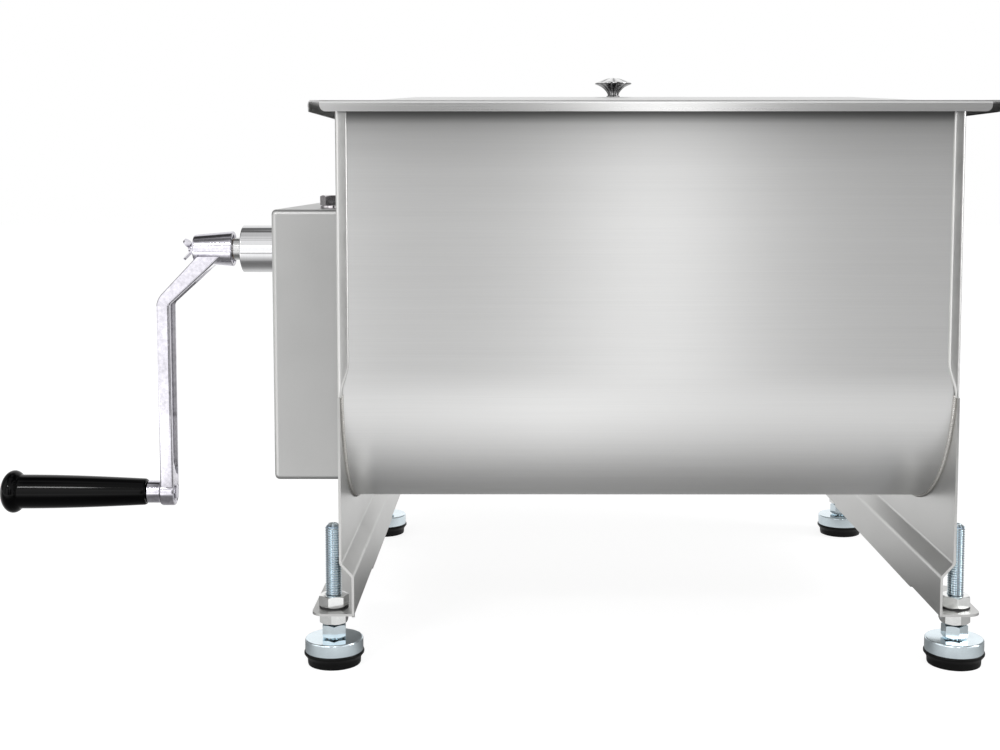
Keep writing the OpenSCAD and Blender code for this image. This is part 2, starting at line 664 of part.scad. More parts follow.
module at_front() translate([0, -shaft_y, axis_z]) children();
module at_rear() translate([0, shaft_y, axis_z]) children();
module front_mixing_shaft() color("silver") at_front() mixing_shaft(-1);
module front_paddles() color("gainsboro") at_front() paddles(-1);
module front_paddle_pins() color("silver") at_front() paddle_pins(-1);
module front_shaft_gear() color("dimgray") at_front() shaft_gear(180);
module front_gear_key() color("silver") at_front() shaft_key(gear_seat_d / 2);
module front_gear_nut() color("silver") at_front() gear_nut();
module rear_mixing_shaft() color("silver") at_rear() mixing_shaft(1);
module rear_paddles() color("gainsboro") at_rear() paddles(1);
module rear_paddle_pins() color("silver") at_rear() paddle_pins(1);
module rear_shaft_gear() color("dimgray") at_rear() shaft_gear(0);
module rear_gear_key() color("silver") at_rear() shaft_key(gear_seat_d / 2);
module rear_gear_nut() color("silver") at_rear() gear_nut();

// Lid
lid_z = tank_top + lid_gap;
module crown() hull() {
  translate([-crown_x, -crown_y, 0]) cube([2 * crown_x, 2 * crown_y, 0.01]);
  translate([-ridge_l / 2, -ridge_w / 2, crown_h]) cube([ridge_l, ridge_w, 0.01]);
}
module lid() color("silver") translate([lid_shift, 0, lid_z]) difference() {
  union() {
    translate([-lid_w / 2, -lid_d / 2, 0]) cube([lid_w, lid_d, lid_t]);
    translate([0, 0, lid_t - 0.01]) crown();
  }
  translate([0, 0, -0.01]) crown();
  translate([-lid_shift - knob_left, 0, 0]) cylinder(r = knob_screw_r + 0.5, h = crown_h + 2 * cut);
}
// Edges folded down round the lid, a node of their own so that each one is a plain strip
edge_drop = lid_edge - lid_t;
module lid_edges() color("silver") translate([lid_shift, 0, lid_z]) for (s = [-1, 1]) {
  translate([s * (lid_w - lid_t) / 2, 0, -edge_drop / 2])
    cube([lid_t, lid_d - 2 * lid_notch, edge_drop], center = true);
  translate([0, s * (lid_d - lid_t) / 2, -edge_drop / 2])
    cube([lid_w - 2 * lid_notch, lid_t, edge_drop], center = true);
}
knob_screw_r = 2.5;
knob_z = lid_z + lid_t + crown_h;
knob_neck_r = 3.6;
module at_knob() translate([-knob_left, 0, knob_z]) children();
module lid_knob() color("gainsboro") at_knob() difference() {
  rotate_extrude() polygon([
    [0, 0], [knob_neck_r + 1.4, 0], [knob_neck_r + 0.3, 1.6], [knob_neck_r, 2.8],
    [knob_neck_r + 1.2, 0.38 * knob_h], [0.3 * knob_d, 0.56 * knob_h], [knob_d / 2, 0.68 * knob_h],
    [knob_d / 2, 0.74 * knob_h], [0.4 * knob_d, 0.9 * knob_h], [0.18 * knob_d, knob_h], [0, knob_h]
  ]);
  translate([0, 0, -cut]) cylinder(r = knob_screw_r + press_gap, h = 0.6 * knob_h + cut);
}
module lid_knob_screw() color("silver") at_knob() {
  translate([0, 0, -lid_t - 3]) cylinder(r = knob_screw_r, h = lid_t + 3 + 0.5 * knob_h);
  translate([0, 0, -lid_t - 3]) cylinder(r = 2 * knob_screw_r, h = 3);
}

// Nuts that clamp the tabs
module tab_nut() difference() {
  z_hex(nut_af, nut_h);
  translate([0, 0, -cut]) cylinder(r = stud_d / 2 + run_gap, h = nut_h + 2 * cut);
}
module upper_foot_nuts() color("silver") each_foot() translate([0, 0, tab_top]) tab_nut();
module lower_foot_nuts() color("silver") each_foot() translate([0, 0, tab_z - nut_h]) tab_nut();

// Levelling feet
cup_edge = 1.4;
pad_lip_h = 0.8;
module foot_stud() {
  translate([0, 0, hex_z]) z_hex(foot_hex_af, foot_hex_h);
  translate([0, 0, hex_z]) cylinder(d = stud_d, h = foot_hex_h + stud_l);
  translate([0, 0, ball_z]) cylinder(r = ball_neck_r, h = hex_z - ball_z + cut);
  intersection() {
    translate([0, 0, ball_z]) sphere(d = ball_d);
    translate([0, 0, ball_z]) cube([2 * ball_d, 2 * ball_d, 2 * ball_drop], center = true);
  }
}
module foot_cup() difference() {
  translate([0, 0, cup_z]) rotate_extrude() polygon([
    [0, 0], [cup_d / 2, 0], [cup_d / 2, cup_h - cup_edge], [cup_d / 2 - cup_edge, cup_h], [0, cup_h]
  ]);
  translate([0, 0, ball_z]) sphere(r = ball_d / 2 + run_gap);
  translate([0, 0, cup_z - cut]) cylinder(r = ball_mouth_r, h = ball_z - cup_z + cut);
}
module foot_pad() rotate_extrude() polygon([
  [0, 0], [pad_d / 2, 0], [pad_d / 2 + 0.3, pad_h - 2.5], [cup_d / 2 + pad_lip, pad_h - pad_lip_h],
  [cup_d / 2 + pad_lip, pad_h + pad_lip_h], [cup_d / 2 + press_gap, pad_h + pad_lip_h],
  [cup_d / 2 + press_gap, pad_h],
  [0, pad_h]
]);
module foot(x, y, tone) color(tone) translate([x * foot_x, y * foot_y, 0]) children();
module front_left_foot_stud() foot(-1, -1, "lightsteelblue") foot_stud();
module front_left_foot_cup() foot(-1, -1, "lightsteelblue") foot_cup();
module front_left_foot_pad() foot(-1, -1, "black") foot_pad();
module front_right_foot_stud() foot(1, -1, "lightsteelblue") foot_stud();
module front_right_foot_cup() foot(1, -1, "lightsteelblue") foot_cup();
module front_right_foot_pad() foot(1, -1, "black") foot_pad();
module rear_left_foot_stud() foot(-1, 1, "lightsteelblue") foot_stud();
module rear_left_foot_cup() foot(-1, 1, "lightsteelblue") foot_cup();
module rear_left_foot_pad() foot(-1, 1, "black") foot_pad();
module rear_right_foot_stud() foot(1, 1, "lightsteelblue") foot_stud();
module rear_right_foot_cup() foot(1, 1, "lightsteelblue") foot_cup();
module rear_right_foot_pad() foot(1, 1, "black") foot_pad();

place() tank();
place() left_end_plate();
place() right_end_plate();
place() gear_case();
place() case_brackets();
place() case_bolts();
place() case_washers();
place() crank_collar();
place() collar_nut();
place() crank_bush();
place() crank_pilot();
place() idler_axle();
place() idler_clip();
place() left_bearing_bosses();
place() left_bearing_bushes();
place() shaft_seals();
place() right_bearing_cups();
place() right_bearing_bushes();
place() cup_studs();
place() cup_nuts();
place() upper_foot_nuts();
place() lower_foot_nuts();
place() lid();
place() lid_edges();
place() lid_knob();
place() lid_knob_screw();
place() crankshaft();
place() crank_pinion();
place() pinion_key();
place() pinion_clips();
place() crank_arm();
place() crank_wing_screw();
place() grip_spindle();
place() handle_grip();
place() idler_gear();
place() idler_bush();
place() front_mixing_shaft();
place() front_paddles();
place() front_paddle_pins();
place() front_shaft_gear();
place() front_gear_key();
place() front_gear_nut();
place() rear_mixing_shaft();
place() rear_paddles();
place() rear_paddle_pins();
place() rear_shaft_gear();
place() rear_gear_key();
place() rear_gear_nut();
place() front_left_foot_stud();
place() front_left_foot_cup();
place() front_left_foot_pad();
place() front_right_foot_stud();
place() front_right_foot_cup();
place() front_right_foot_pad();
place() rear_left_foot_stud();
place() rear_left_foot_cup();
place() rear_left_foot_pad();
place() rear_right_foot_stud();
place() rear_right_foot_cup();
place() rear_right_foot_pad();
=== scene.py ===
import json
import bmesh
import bpy
from math import acos, atan2, cos, degrees, hypot, pi, radians, sin, sqrt, tan
from mathutils import Matrix, Vector


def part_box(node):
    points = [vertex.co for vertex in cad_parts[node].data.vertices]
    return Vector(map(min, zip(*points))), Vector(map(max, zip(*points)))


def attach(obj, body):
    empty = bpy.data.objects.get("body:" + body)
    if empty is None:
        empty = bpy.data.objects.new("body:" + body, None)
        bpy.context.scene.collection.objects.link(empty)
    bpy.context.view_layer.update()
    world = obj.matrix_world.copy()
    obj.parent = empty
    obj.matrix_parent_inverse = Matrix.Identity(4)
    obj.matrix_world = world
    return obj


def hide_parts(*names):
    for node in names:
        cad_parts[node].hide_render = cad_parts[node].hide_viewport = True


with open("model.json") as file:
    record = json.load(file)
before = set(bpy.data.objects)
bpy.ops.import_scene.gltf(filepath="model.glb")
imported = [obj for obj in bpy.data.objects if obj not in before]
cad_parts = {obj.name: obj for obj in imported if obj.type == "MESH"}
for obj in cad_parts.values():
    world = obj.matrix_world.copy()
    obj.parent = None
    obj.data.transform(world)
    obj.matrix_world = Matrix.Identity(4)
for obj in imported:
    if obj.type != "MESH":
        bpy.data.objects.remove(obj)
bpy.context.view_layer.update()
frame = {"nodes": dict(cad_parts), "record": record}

# Hand-cranked twin-shaft meat mixer. Sizes are in millimetres from the middle of the tank,
# and toRow turns them into metres in the frame of the CAD model.
tankLow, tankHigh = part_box("tank")
toRow = Matrix.Translation(((tankLow.x + tankHigh.x) / 2, 0, 0)) @ Matrix.Scale(0.001, 4)
levels = {"axis": 183.0, "crank": 246.0, "handle": 70.5, "tabTop": 35.1, "rim": 341.0}
spans = {"plateIn": 183.0, "plateOut": 184.5, "plateY": 178.5, "shaftY": 84.0}
feet = {"x": 190.2, "y": 160.0}
footSides = {"front_left": (-1, -1), "front_right": (1, -1), "rear_left": (-1, 1), "rear_right": (1, 1)}


# small helpers for node trees

def addNode(tree, kind, given=(), **settings):
    # given pairs a socket's name or number with a value or with another node's output
    node = tree.nodes.new(kind)
    for name, value in settings.items():
        setattr(node, name, value)
    for socket, value in dict(given).items():
        if isinstance(value, bpy.types.NodeSocket):
            tree.links.new(value, node.inputs[socket])
        else:
            node.inputs[socket].default_value = value
    return node


def opaque(tone):
    return (tuple(tone) if isinstance(tone, (list, tuple)) else (tone,) * 3) + (1,)


def makeRamp(tree, socket, stops):
    # stops pair a place from 0 to 1 with a grey level or a colour
    node = addNode(tree, "ShaderNodeValToRGB", {"Fac": socket})
    places = node.color_ramp.elements
    while len(places) < len(stops):
        places.new(0.5)
    for place, (at, tone) in zip(places, stops):
        place.position = at
        place.color = opaque(tone)
    return node.outputs["Color"]


def rampAlong(tree, socket, stops):
    # the same, with places in metres along one axis
    low, high = stops[0][0], stops[-1][0]
    along = addNode(tree, "ShaderNodeMapRange", {"Value": socket, "From Min": low, "From Max": high})
    return makeRamp(tree, along.outputs["Result"], [((at - low) / (high - low), tone) for at, tone in stops])


def combined(tree, operation, first, second=0.0, kind="ShaderNodeMath"):
    return addNode(tree, kind, {0: first, 1: second}, operation=operation).outputs[0]


def endWithViews(tree, kind, mirrored, seen):
    # the camera sees one shader, reflections and light the other
    path = addNode(tree, "ShaderNodeLightPath")
    mix = addNode(tree, "ShaderNodeMixShader", {0: path.outputs["Is Camera Ray"], 1: mirrored.outputs[0],
                                                2: seen.outputs[0]})
    addNode(tree, kind, {"Surface": mix.outputs[0]})


def linkObject(name, data):
    made = bpy.data.objects.new(name, data)
    bpy.context.scene.collection.objects.link(made)
    return made


# camera, lights, floor and room

def makeCamera():
    view = {"place": (-73.9, -1024.3, 300.7), "pitch": 4.61, "yaw": 0.17, "lens": 51.85, "sensor": 36,
            "shift": (-0.0195, -0.0871)}
    data = bpy.data.cameras.new("photoCamera")
    data.lens, data.sensor_width = view["lens"], view["sensor"]
    data.shift_x, data.shift_y = view["shift"]
    camera = linkObject("photoCamera", data)
    camera.location = toRow @ Vector(view["place"])
    camera.rotation_euler = (radians(90 - view["pitch"]), 0, radians(view["yaw"]))
    bpy.context.scene.camera = camera


def softLight(name, place, target, width, height, level):
    # level is the brightness that the panel shows in a mirror
    data = bpy.data.lights.new(name, "AREA")
    data.shape, data.size, data.size_y = "RECTANGLE", width, height
    data.energy = level * pi * width * height
    lamp = linkObject(name, data)
    lamp.location = place
    lamp.rotation_euler = (Vector(target) - Vector(place)).to_track_quat("-Z", "Y").to_euler()


def makeFloor():
    # depths run from front to back and widths from left to right, in metres and brightness
    floor = {"front": -0.62, "back": 7.0, "side": 7.0, "tone": 0.30, "seen": 0.28, "glow": 0.86, "lift": 2.1,
             "depths": ((-1.2, 0.78), (-0.42, 0.96), (-0.26, 0.50), (-0.19, 0.28), (-0.14, 0.05), (-0.08, 0.02),
                        (0.0, 0.08), (0.15, 0.50), (0.5, 0.60)),
             "widths": ((-0.9, 1.0), (-0.36, 0.95), (-0.25, 0.52), (-0.08, 0.54), (0.07, 0.72), (0.22, 0.54),
                        (0.5, 0.50))}
    mesh = bpy.data.meshes.new("studioFloor")
    side, front, back = floor["side"], floor["front"], floor["back"]
    mesh.from_pydata([(-side, front, 0), (side, front, 0), (side, back, 0), (-side, back, 0)], [],
                     [(0, 1, 2, 3)])
    paint = bpy.data.materials.new("studioFloor")
    paint.use_nodes = True
    tree = paint.node_tree
    tree.nodes.clear()
    # in reflections the floor glows with painted light in front and behind and along a bright strip, and a
    # painted shadow darkens it below the tank
    split = addNode(tree, "ShaderNodeSeparateXYZ", {0: addNode(tree, "ShaderNodeTexCoord").outputs["Object"]})
    level = combined(tree, "MULTIPLY", rampAlong(tree, split.outputs["Y"], floor["depths"]),
                     rampAlong(tree, split.outputs["X"], floor["widths"]), "ShaderNodeVectorMath")
    lift = addNode(tree, "ShaderNodeEmission", {"Color": level, "Strength": floor["lift"]})
    pale = addNode(tree, "ShaderNodeBsdfDiffuse", {"Color": opaque(floor["tone"])})
    mirrored = addNode(tree, "ShaderNodeAddShader", {0: lift.outputs[0], 1: pale.outputs[0]})
    glow = addNode(tree, "ShaderNodeEmission", {"Color": opaque(floor["glow"])})
    matt = addNode(tree, "ShaderNodeBsdfDiffuse", {"Color": opaque(floor["seen"])})
    seen = addNode(tree, "ShaderNodeAddShader", {0: glow.outputs[0], 1: matt.outputs[0]})
    endWithViews(tree, "ShaderNodeOutputMaterial", mirrored, seen)
    mesh.materials.append(paint)
    linkObject("studioFloor", mesh)


def makeRoom():
    # brightness by elevation in degrees: towards the camera's side, and everywhere else;
    # flags by direction dim the sides behind the machine and give its silhouette thin dark lines
    room = {"front": ((-60, 0.60), (-15, 0.75), (-11, 0.08), (8, 0.08), (10, 0.26), (20, 0.30), (23, 1.12),
                      (41, 1.12), (43, 0.75), (49, 1.05), (53, 0.70), (58, 0.95), (66, 0.72), (83, 0.72),
                      (86, 0.15)),
            "around": ((-60, 0.60), (-12, 0.90), (-4, 1.00), (48, 1.05), (53, 0.20), (68, 0.20), (72, 0.70),
                       (83, 0.70), (86, 0.15)),
            "flags": ((-90, 1.0), (-3, 1.0), (5, 0.28), (51, 0.28), (64, 1.0)),
            "turn": (-0.90, -0.70), "seen": 1.0}
    world = bpy.data.worlds.new("studio")
    bpy.context.scene.world = world
    world.use_nodes = True
    tree = world.node_tree
    tree.nodes.clear()
    split = addNode(tree, "ShaderNodeSeparateXYZ",
                    {0: addNode(tree, "ShaderNodeTexCoord").outputs["Generated"]})
    x, y, z = (split.outputs[axis] for axis in "XYZ")

    def ranged(socket, low, high, start, end, kind):
        return addNode(tree, "ShaderNodeMapRange",
                       {"Value": socket, "From Min": low, "From Max": high, "To Min": start,
                                                    "To Max": end}, interpolation_type=kind).outputs["Result"]

    def banded(socket, stops):
        return makeRamp(tree, socket, [((sin(radians(angle)) + 1) / 2, level) for angle, level in stops])

    height = ranged(z, -1.0, 1.0, 0.0, 1.0, "LINEAR")
    squares = combined(tree, "ADD", combined(tree, "MULTIPLY", x, x), combined(tree, "MULTIPLY", y, y))
    facing = combined(tree, "DIVIDE", y, combined(tree, "MAXIMUM", combined(tree, "SQRT", squares), 0.001))
    flags = banded(ranged(facing, -1.0, 1.0, 0.0, 1.0, "LINEAR"), room["flags"])
    flagged = combined(tree, "MULTIPLY", banded(height, room["around"]), flags, "ShaderNodeVectorMath")
    blend = addNode(tree, "ShaderNodeMix", data_type="RGBA", given={
        0: ranged(facing, *room["turn"], 1.0, 0.0, "SMOOTHSTEP"), 6: flagged, 7: banded(height, room["front"])})
    mirrored = addNode(tree, "ShaderNodeBackground", {"Color": blend.outputs[2]})
    seen = addNode(tree, "ShaderNodeBackground", {"Color": opaque(room["seen"])})
    endWithViews(tree, "ShaderNodeOutputWorld", mirrored, seen)


makeCamera()
makeFloor()
makeRoom()
# place, target, width, height and brightness of each panel
softLight("stripRight", (0.37, -2.7, 0.9), (0.07, 0, 0.25), 0.28, 2.4, 1.9)
softLight("panelLeft", (-1.27, -2.5, 0.4), (-0.3, 0, 0.2), 1.56, 1.8, 1.38)
softLight("sideLeft", (-2.0, -0.9, 0.9), (-0.2, 0, 0.2), 0.5, 1.6, 0.4)
softLight("sideRight", (2.4, -0.5, 1.0), (0.2, 0, 0.2), 0.7, 1.8, 5.0)
softLight("gripStreak", (-1.02, -1.9, 1.73), (-0.4, 0, 0.07), 0.42, 0.22, 36)
bpy.context.scene.view_settings.view_transform = "Standard"
print("camera, lights and floor are set")


# metals, rubber and plastic

def finish(name, tone, rough, grain=(60, 60, 60), streak=0.05, roughVary=0.05, bump=0.0, spread=0.0,
           broad=(9, 9, 9), share=0.4, metallic=1.0, specular=0.5, detail=4.0, paintedShadeTone=None, shade=None):
    # grain and broad scale a fine and a wide pattern; streak and roughVary say how far they vary tone and gloss
    material = bpy.data.materials.new(name)
    material.use_nodes = True
    tree = material.node_tree
    shader = tree.nodes["Principled BSDF"]
    shader.inputs["Metallic"].default_value = metallic
    shader.inputs["Specular IOR Level"].default_value = specular
    where = addNode(tree, "ShaderNodeTexCoord").outputs["Object"]
    lowest, highest = 0.32, 0.68

    def pattern(scale, levels):
        mapping = addNode(tree, "ShaderNodeMapping", {"Scale": scale, "Vector": where})
        return addNode(tree, "ShaderNodeTexNoise", {"Scale": 1.0, "Detail": levels,
                                                    "Vector": mapping.outputs["Vector"]}).outputs["Fac"]

    fine = pattern(grain, detail)
    mixed = addNode(tree, "ShaderNodeMix", {0: share, 2: fine, 3: pattern(broad, 2.0)}).outputs[0]
    base = makeRamp(tree, mixed, [(lowest, [c * (1 - streak) for c in tone]),
                                  (highest, [min(1, c * (1 + streak)) for c in tone])])
    if paintedShadeTone:
        # painted shade: what its mesh marks takes a darker tone
        mark = addNode(tree, "ShaderNodeAttribute", attribute_name="paintedShade")
        base = addNode(tree, "ShaderNodeMix", {0: mark.outputs["Fac"], 6: base, 7: opaque(paintedShadeTone)},
                       data_type="RGBA").outputs[2]
    if shade:
        # painted shade: darker towards the rim, below the lid's edge
        split = addNode(tree, "ShaderNodeSeparateXYZ", {0: where})
        base = combined(tree, "MULTIPLY", base, rampAlong(tree, split.outputs["Z"], shade),
                        "ShaderNodeVectorMath")
    tree.links.new(base, shader.inputs["Base Color"])
    gloss = addNode(tree, "ShaderNodeMapRange", {"Value": mixed, "From Min": lowest, "From Max": highest,
                                                 "To Min": max(0.02, rough - roughVary),
                                                 "To Max": rough + roughVary})
    tree.links.new(gloss.outputs["Result"], shader.inputs["Roughness"])
    if bump:
        relief = addNode(tree, "ShaderNodeBump", {"Strength": 1.0, "Distance": bump, "Height": fine})
        tree.links.new(relief.outputs["Normal"], shader.inputs["Normal"])
    if spread:
        shader.inputs["Anisotropic"].default_value = spread
        tangent = addNode(tree, "ShaderNodeTangent", direction_type="UV_MAP", uv_map="grain")
        tree.links.new(tangent.outputs["Tangent"], shader.inputs["Tangent"])
    return material


brushed = {"grain": (12, 5200, 5200), "roughVary": 0.02, "bump": 0.000001, "broad": (3, 420, 420),
           "share": 0.25}
# painted shade on the tank's outside below the lid, as tone factors by height in metres
paintedRimShade = ((0.27, 1.0), (0.302, 0.92), (0.3216, 0.76), (0.3287, 0.62), (0.3345, 0.25), (0.342, 0.18))
# a finish's painted shade tone darkens what a piece's mesh marks as shaded
mats = {
    "tank_steel": finish("tankSteel", (0.74, 0.74, 0.735), 0.37, streak=0.03, spread=0.88, shade=paintedRimShade,
                         **brushed),
    "lid_steel": finish("lidSteel", (0.76, 0.76, 0.755), 0.29, streak=0.025, spread=0.8,
                        paintedShadeTone=(0.03, 0.03, 0.03), **brushed),
    "plate_steel": finish("plateSteel", (0.60, 0.60, 0.59), 0.34, (700, 700, 260), 0.035, 0.05, 0.000004,
                          broad=(26, 26, 26), share=0.6),
    "case_steel": finish("caseSteel", (0.475, 0.475, 0.47), 0.38, (900, 900, 900), 0.02, 0.04, 0.000004,
                         broad=(20, 20, 20), share=0.6),
    "weld_bead": finish("weldBead", (0.50, 0.49, 0.47), 0.35, (900, 900, 900), 0.25, 0.1, 0.00002),
    "inner_steel": finish("innerSteel", (0.56, 0.56, 0.56), 0.32, (400, 60, 60), 0.08, 0.06, 0.00001),
    "dark_bolt": finish("darkBolt", (0.62, 0.59, 0.61), 0.07, (200, 200, 200), 0.1, 0.03, 0.00001),
    "polished_collar": finish("polishedCollar", (0.68, 0.68, 0.69), 0.045, (1400, 60, 60), 0.03, 0.015),
    "bronze": finish("bronze", (0.66, 0.44, 0.22), 0.3, (500, 80, 80), 0.08, 0.06, 0.00001),
    "seal_rubber": finish("sealRubber", (0.03, 0.03, 0.03), 0.55, (300, 300, 300), 0.1, 0.08, 0.00002,
                          metallic=0),
    "clamp_nut": finish("clampNut", (0.86, 0.87, 0.86), 0.15, (260, 260, 260), 0.05, 0.06, 0.00001),
    "knob_chrome": finish("knobChrome", (0.76, 0.76, 0.76), 0.05, (90, 90, 90), 0.03, 0.02,
                          paintedShadeTone=(0.06, 0.06, 0.065)),
    "shaft_steel": finish("shaftSteel", (0.6, 0.6, 0.6), 0.16, (900, 50, 50), 0.06, 0.05, 0.00001),
    "gear_steel": finish("gearSteel", (0.36, 0.36, 0.37), 0.33, (300, 300, 300), 0.12, 0.1, 0.00001),
    "arm_chrome": finish("armChrome", (0.625, 0.61, 0.665), 0.085, (420, 420, 420), 0.20, 0.03, 0.000012,
                         broad=(70, 70, 70), share=0.35, detail=3.0, paintedShadeTone=(0.05, 0.05, 0.055)),
    "grip_plastic": finish("gripPlastic", (0.0006, 0.0006, 0.0008), 0.09, (60, 60, 60), 0.2, 0.02, metallic=0,
                           specular=0.11),
    "paddle_steel": finish("paddleSteel", (0.64, 0.64, 0.635), 0.34, (120, 120, 120), 0.06, 0.06, 0.00001),
    "zinc_steel": finish("zincSteel", (0.78, 0.88, 0.94), 0.13, (130, 130, 130), 0.08, 0.07, 0.00001,
                         paintedShadeTone=(0.36, 0.45, 0.54)),
    "foot_rubber": finish("footRubber", (0.003, 0.003, 0.003), 0.42, (400, 400, 400), 0.2, 0.08, 0.00003,
                          metallic=0, specular=0.15),
}
for entry in frame["record"]["subparts"]:
    node = frame["nodes"][entry["node"]]
    node.data.materials.clear()
    node.data.materials.append(mats[entry["material_slot"]])
print("materials are on the model's own parts")


# shared shape tools; u, v and w are the two directions across an axis and the one along it

def placed(axis, u, v, w):
    return {"x": (w, u, v), "y": (u, w, v), "z": (u, v, w)}[axis]


def rounded(points, radius, steps=4, closed=True):
    # an outline with its corners turned into arcs; radius is one number or one for each corner
    result, count = [], len(points)
    for i, point in enumerate(points):
        r = radius[i] if isinstance(radius, (list, tuple)) else radius
        corner = Vector(point)
        back, ahead = Vector(points[i - 1]) - corner, Vector(points[(i + 1) % count]) - corner
        half = back.angle(ahead) / 2
        if r <= 0 or half > pi / 2 - 0.02 or (not closed and i in (0, count - 1)):
            result.append(tuple(point))
            continue
        back, ahead, reach = back.normalized(), ahead.normalized(), 0.49 * min(back.length, ahead.length)
        cut = min(r / tan(half), reach)
        r = cut * tan(half)
        centre = corner + (back + ahead).normalized() * (r / sin(half))
        first, last = corner + back * cut - centre, corner + ahead * cut - centre
        start = atan2(first.y, first.x)
        turn = (atan2(last.y, last.x) - start + pi) % (2 * pi) - pi
        result += arcPoints(centre, r, degrees(start), degrees(start + turn), steps)
    return result


def arcPoints(centre, radius, start, end, steps):
    angles = [radians(start + (end - start) * k / steps) for k in range(steps + 1)]
    return [(centre[0] + radius * cos(a), centre[1] + radius * sin(a)) for a in angles]


def isVert(item):
    return isinstance(item, bmesh.types.BMVert)


def prism(bm, outline, low, high, axis="y", holes=()):
    loops = []
    for ring in [outline] + list(holes):
        verts = [bm.verts.new(placed(axis, u, v, low)) for u, v in ring]
        loops.append([bm.edges.new((verts[i - 1], verts[i])) for i in range(len(verts))])
    if holes:
        filled = bmesh.ops.triangle_fill(bm, edges=[e for loop in loops for e in loop], use_beauty=True)["geom"]
        caps = [item for item in filled if isinstance(item, bmesh.types.BMFace)]
    else:
        caps = [bm.faces.new([e.verts[1] for e in loops[0]])]
    grown = bmesh.ops.extrude_face_region(bm, geom=caps)["geom"]
    bmesh.ops.translate(bm, verts=list(filter(isVert, grown)), vec=Vector(placed(axis, 0, 0, high - low)))


def lathe(bm, profile, axis, centre=(0, 0, 0), segments=64, closed=False, shape=None):
    # profile is a list of (radius, place along the axis); shape may bend each ring
    rows = []
    for r, w in profile:
        row = []
        for k in range(segments if r >= 1e-6 else 1):
            a = 2 * pi * k / segments
            rr, ww = shape(a, r, w) if shape and r >= 1e-6 else (r, w)
            point = placed(axis, rr * cos(a), rr * sin(a), ww)
            row.append(bm.verts.new(Vector(point) + Vector(centre)))
        rows.append(row)
    for one, two in list(zip(rows, rows[1:])) + ([(rows[-1], rows[0])] if closed else []):
        for k in range(segments):
            n = (k + 1) % segments
            ring = [one[k % len(one)], one[n % len(one)], two[n % len(two)], two[k % len(two)]]
            ring = [v for i, v in enumerate(ring) if v not in ring[:i]]
            if len(ring) > 2:
                bm.faces.new(ring)
    if not closed:
        for row in (rows[0], rows[-1]):
            if len(row) > 1:
                bm.faces.new(row)


def hexBody(bm, flats, low, high, hole=0.0, cutLow=True, axis="z", turn=0.0, samples=8):
    # hexagon with its corners cut by a 30 degree cone at one or both ends
    across, inner, slope, count, columns = flats / 2, 0.96 * flats / 2, 0.577, 6 * samples, []
    for k in range(count):
        a = 2 * pi * k / count
        r = across / cos((a + pi / 6) % (pi / 3) - pi / 6)
        drop = max(0.0, r - inner) * slope
        column = [(r, low + (drop if cutLow else 0)), (r, high - drop), (inner, high)]
        column += ([(hole, high), (hole, low)] if hole else []) + [(inner, low)]
        cosine, sine = cos(a + turn), sin(a + turn)
        columns.append([bm.verts.new(placed(axis, rr * cosine, rr * sine, w)) for rr, w in column])
    rows = len(columns[0])
    for k in range(count):
        here, there = columns[k], columns[(k + 1) % count]
        for i in range(rows):
            if hole or i != 2:
                j = (i + 1) % rows
                bm.faces.new([here[i], there[i], there[j], here[j]])
    if not hole:
        bm.faces.new([c[2] for c in columns])
        bm.faces.new([c[3] for c in columns])


def loftRows(bm, rows):
    grid = [[bm.verts.new(point) for point in row] for row in rows]
    for one, two in zip(grid, grid[1:]):
        for k in range(len(one)):
            bm.faces.new([one[k - 1], one[k], two[k], two[k - 1]])
    bm.faces.new(grid[0])
    bm.faces.new(grid[-1])
    return grid


def ribbonLoop(spine, thickness):
    # closed outline of a bent sheet round its middle line
    count, outer, inner = len(spine), [], []
    for i, point in enumerate(spine):
        here = Vector(point)
        ahead = (Vector(spine[i + 1]) - here).normalized() if i < count - 1 else None
        back = (here - Vector(spine[i - 1])).normalized() if i else None
        run = ((ahead or back) + (back or ahead)).normalized()
        side = Vector((-run.y, run.x)) * (thickness / 2 / max(0.3, run.dot(ahead or back)))
        outer.append(tuple(here + side))
        inner.append(tuple(here - side))
    return outer + inner[::-1]


def bentSheet(bm, spine, thickness, low, high, axis):
    loop = ribbonLoop(spine, thickness)
    loftRows(bm, [[placed(axis, u, v, w) for u, v in loop] for w in (low, high)])


def markPaintedShade(bm, level):
    # level gives each point's share of the finish's painted shade tone
    layer = bm.verts.layers.float.new("paintedShade")
    for vert in bm.verts:
        vert[layer] = level(vert)


def toMesh(bm, name):
    bmesh.ops.recalc_face_normals(bm, faces=bm.faces)
    mesh = bpy.data.meshes.new(name)
    bm.to_mesh(mesh)
    bm.free()
    return mesh


def evaluated(holder, name):
    # plain mesh of an object with its one modifier applied; the holder goes
    bpy.context.view_layer.update()
    mesh = bpy.data.meshes.new_from_object(holder.evaluated_get(bpy.context.evaluated_depsgraph_get()))
    holder.modifiers.clear()
    bpy.data.objects.remove(holder)
    mesh.name = name
    return mesh


def finishMesh(mesh, name, slotName, body, replaced=(), sharp=35):
    mesh.polygons.foreach_set("use_smooth", [True] * len(mesh.polygons))
    mesh.set_sharp_from_angle(angle=radians(sharp))
    mesh.materials.clear()
    mesh.materials.append(mats[slotName])
    # broad faces keep flat shading beside small rounded edges
    source = linkObject(name + "Source", mesh)
    source.modifiers.new("broadFaces", "WEIGHTED_NORMAL").keep_sharp = True
    piece = linkObject(name, evaluated(source, name))
    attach(piece, body)
    if replaced:
        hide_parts(*replaced)


def finishPiece(bm, name, slotName, body, replaced=(), sharp=35):
    mesh = toMesh(bm, name)
    mesh.transform(toRow)
    finishMesh(mesh, name, slotName, body, replaced, sharp)


# Geometry Nodes: one shape on many spots, and a screw thread round a core

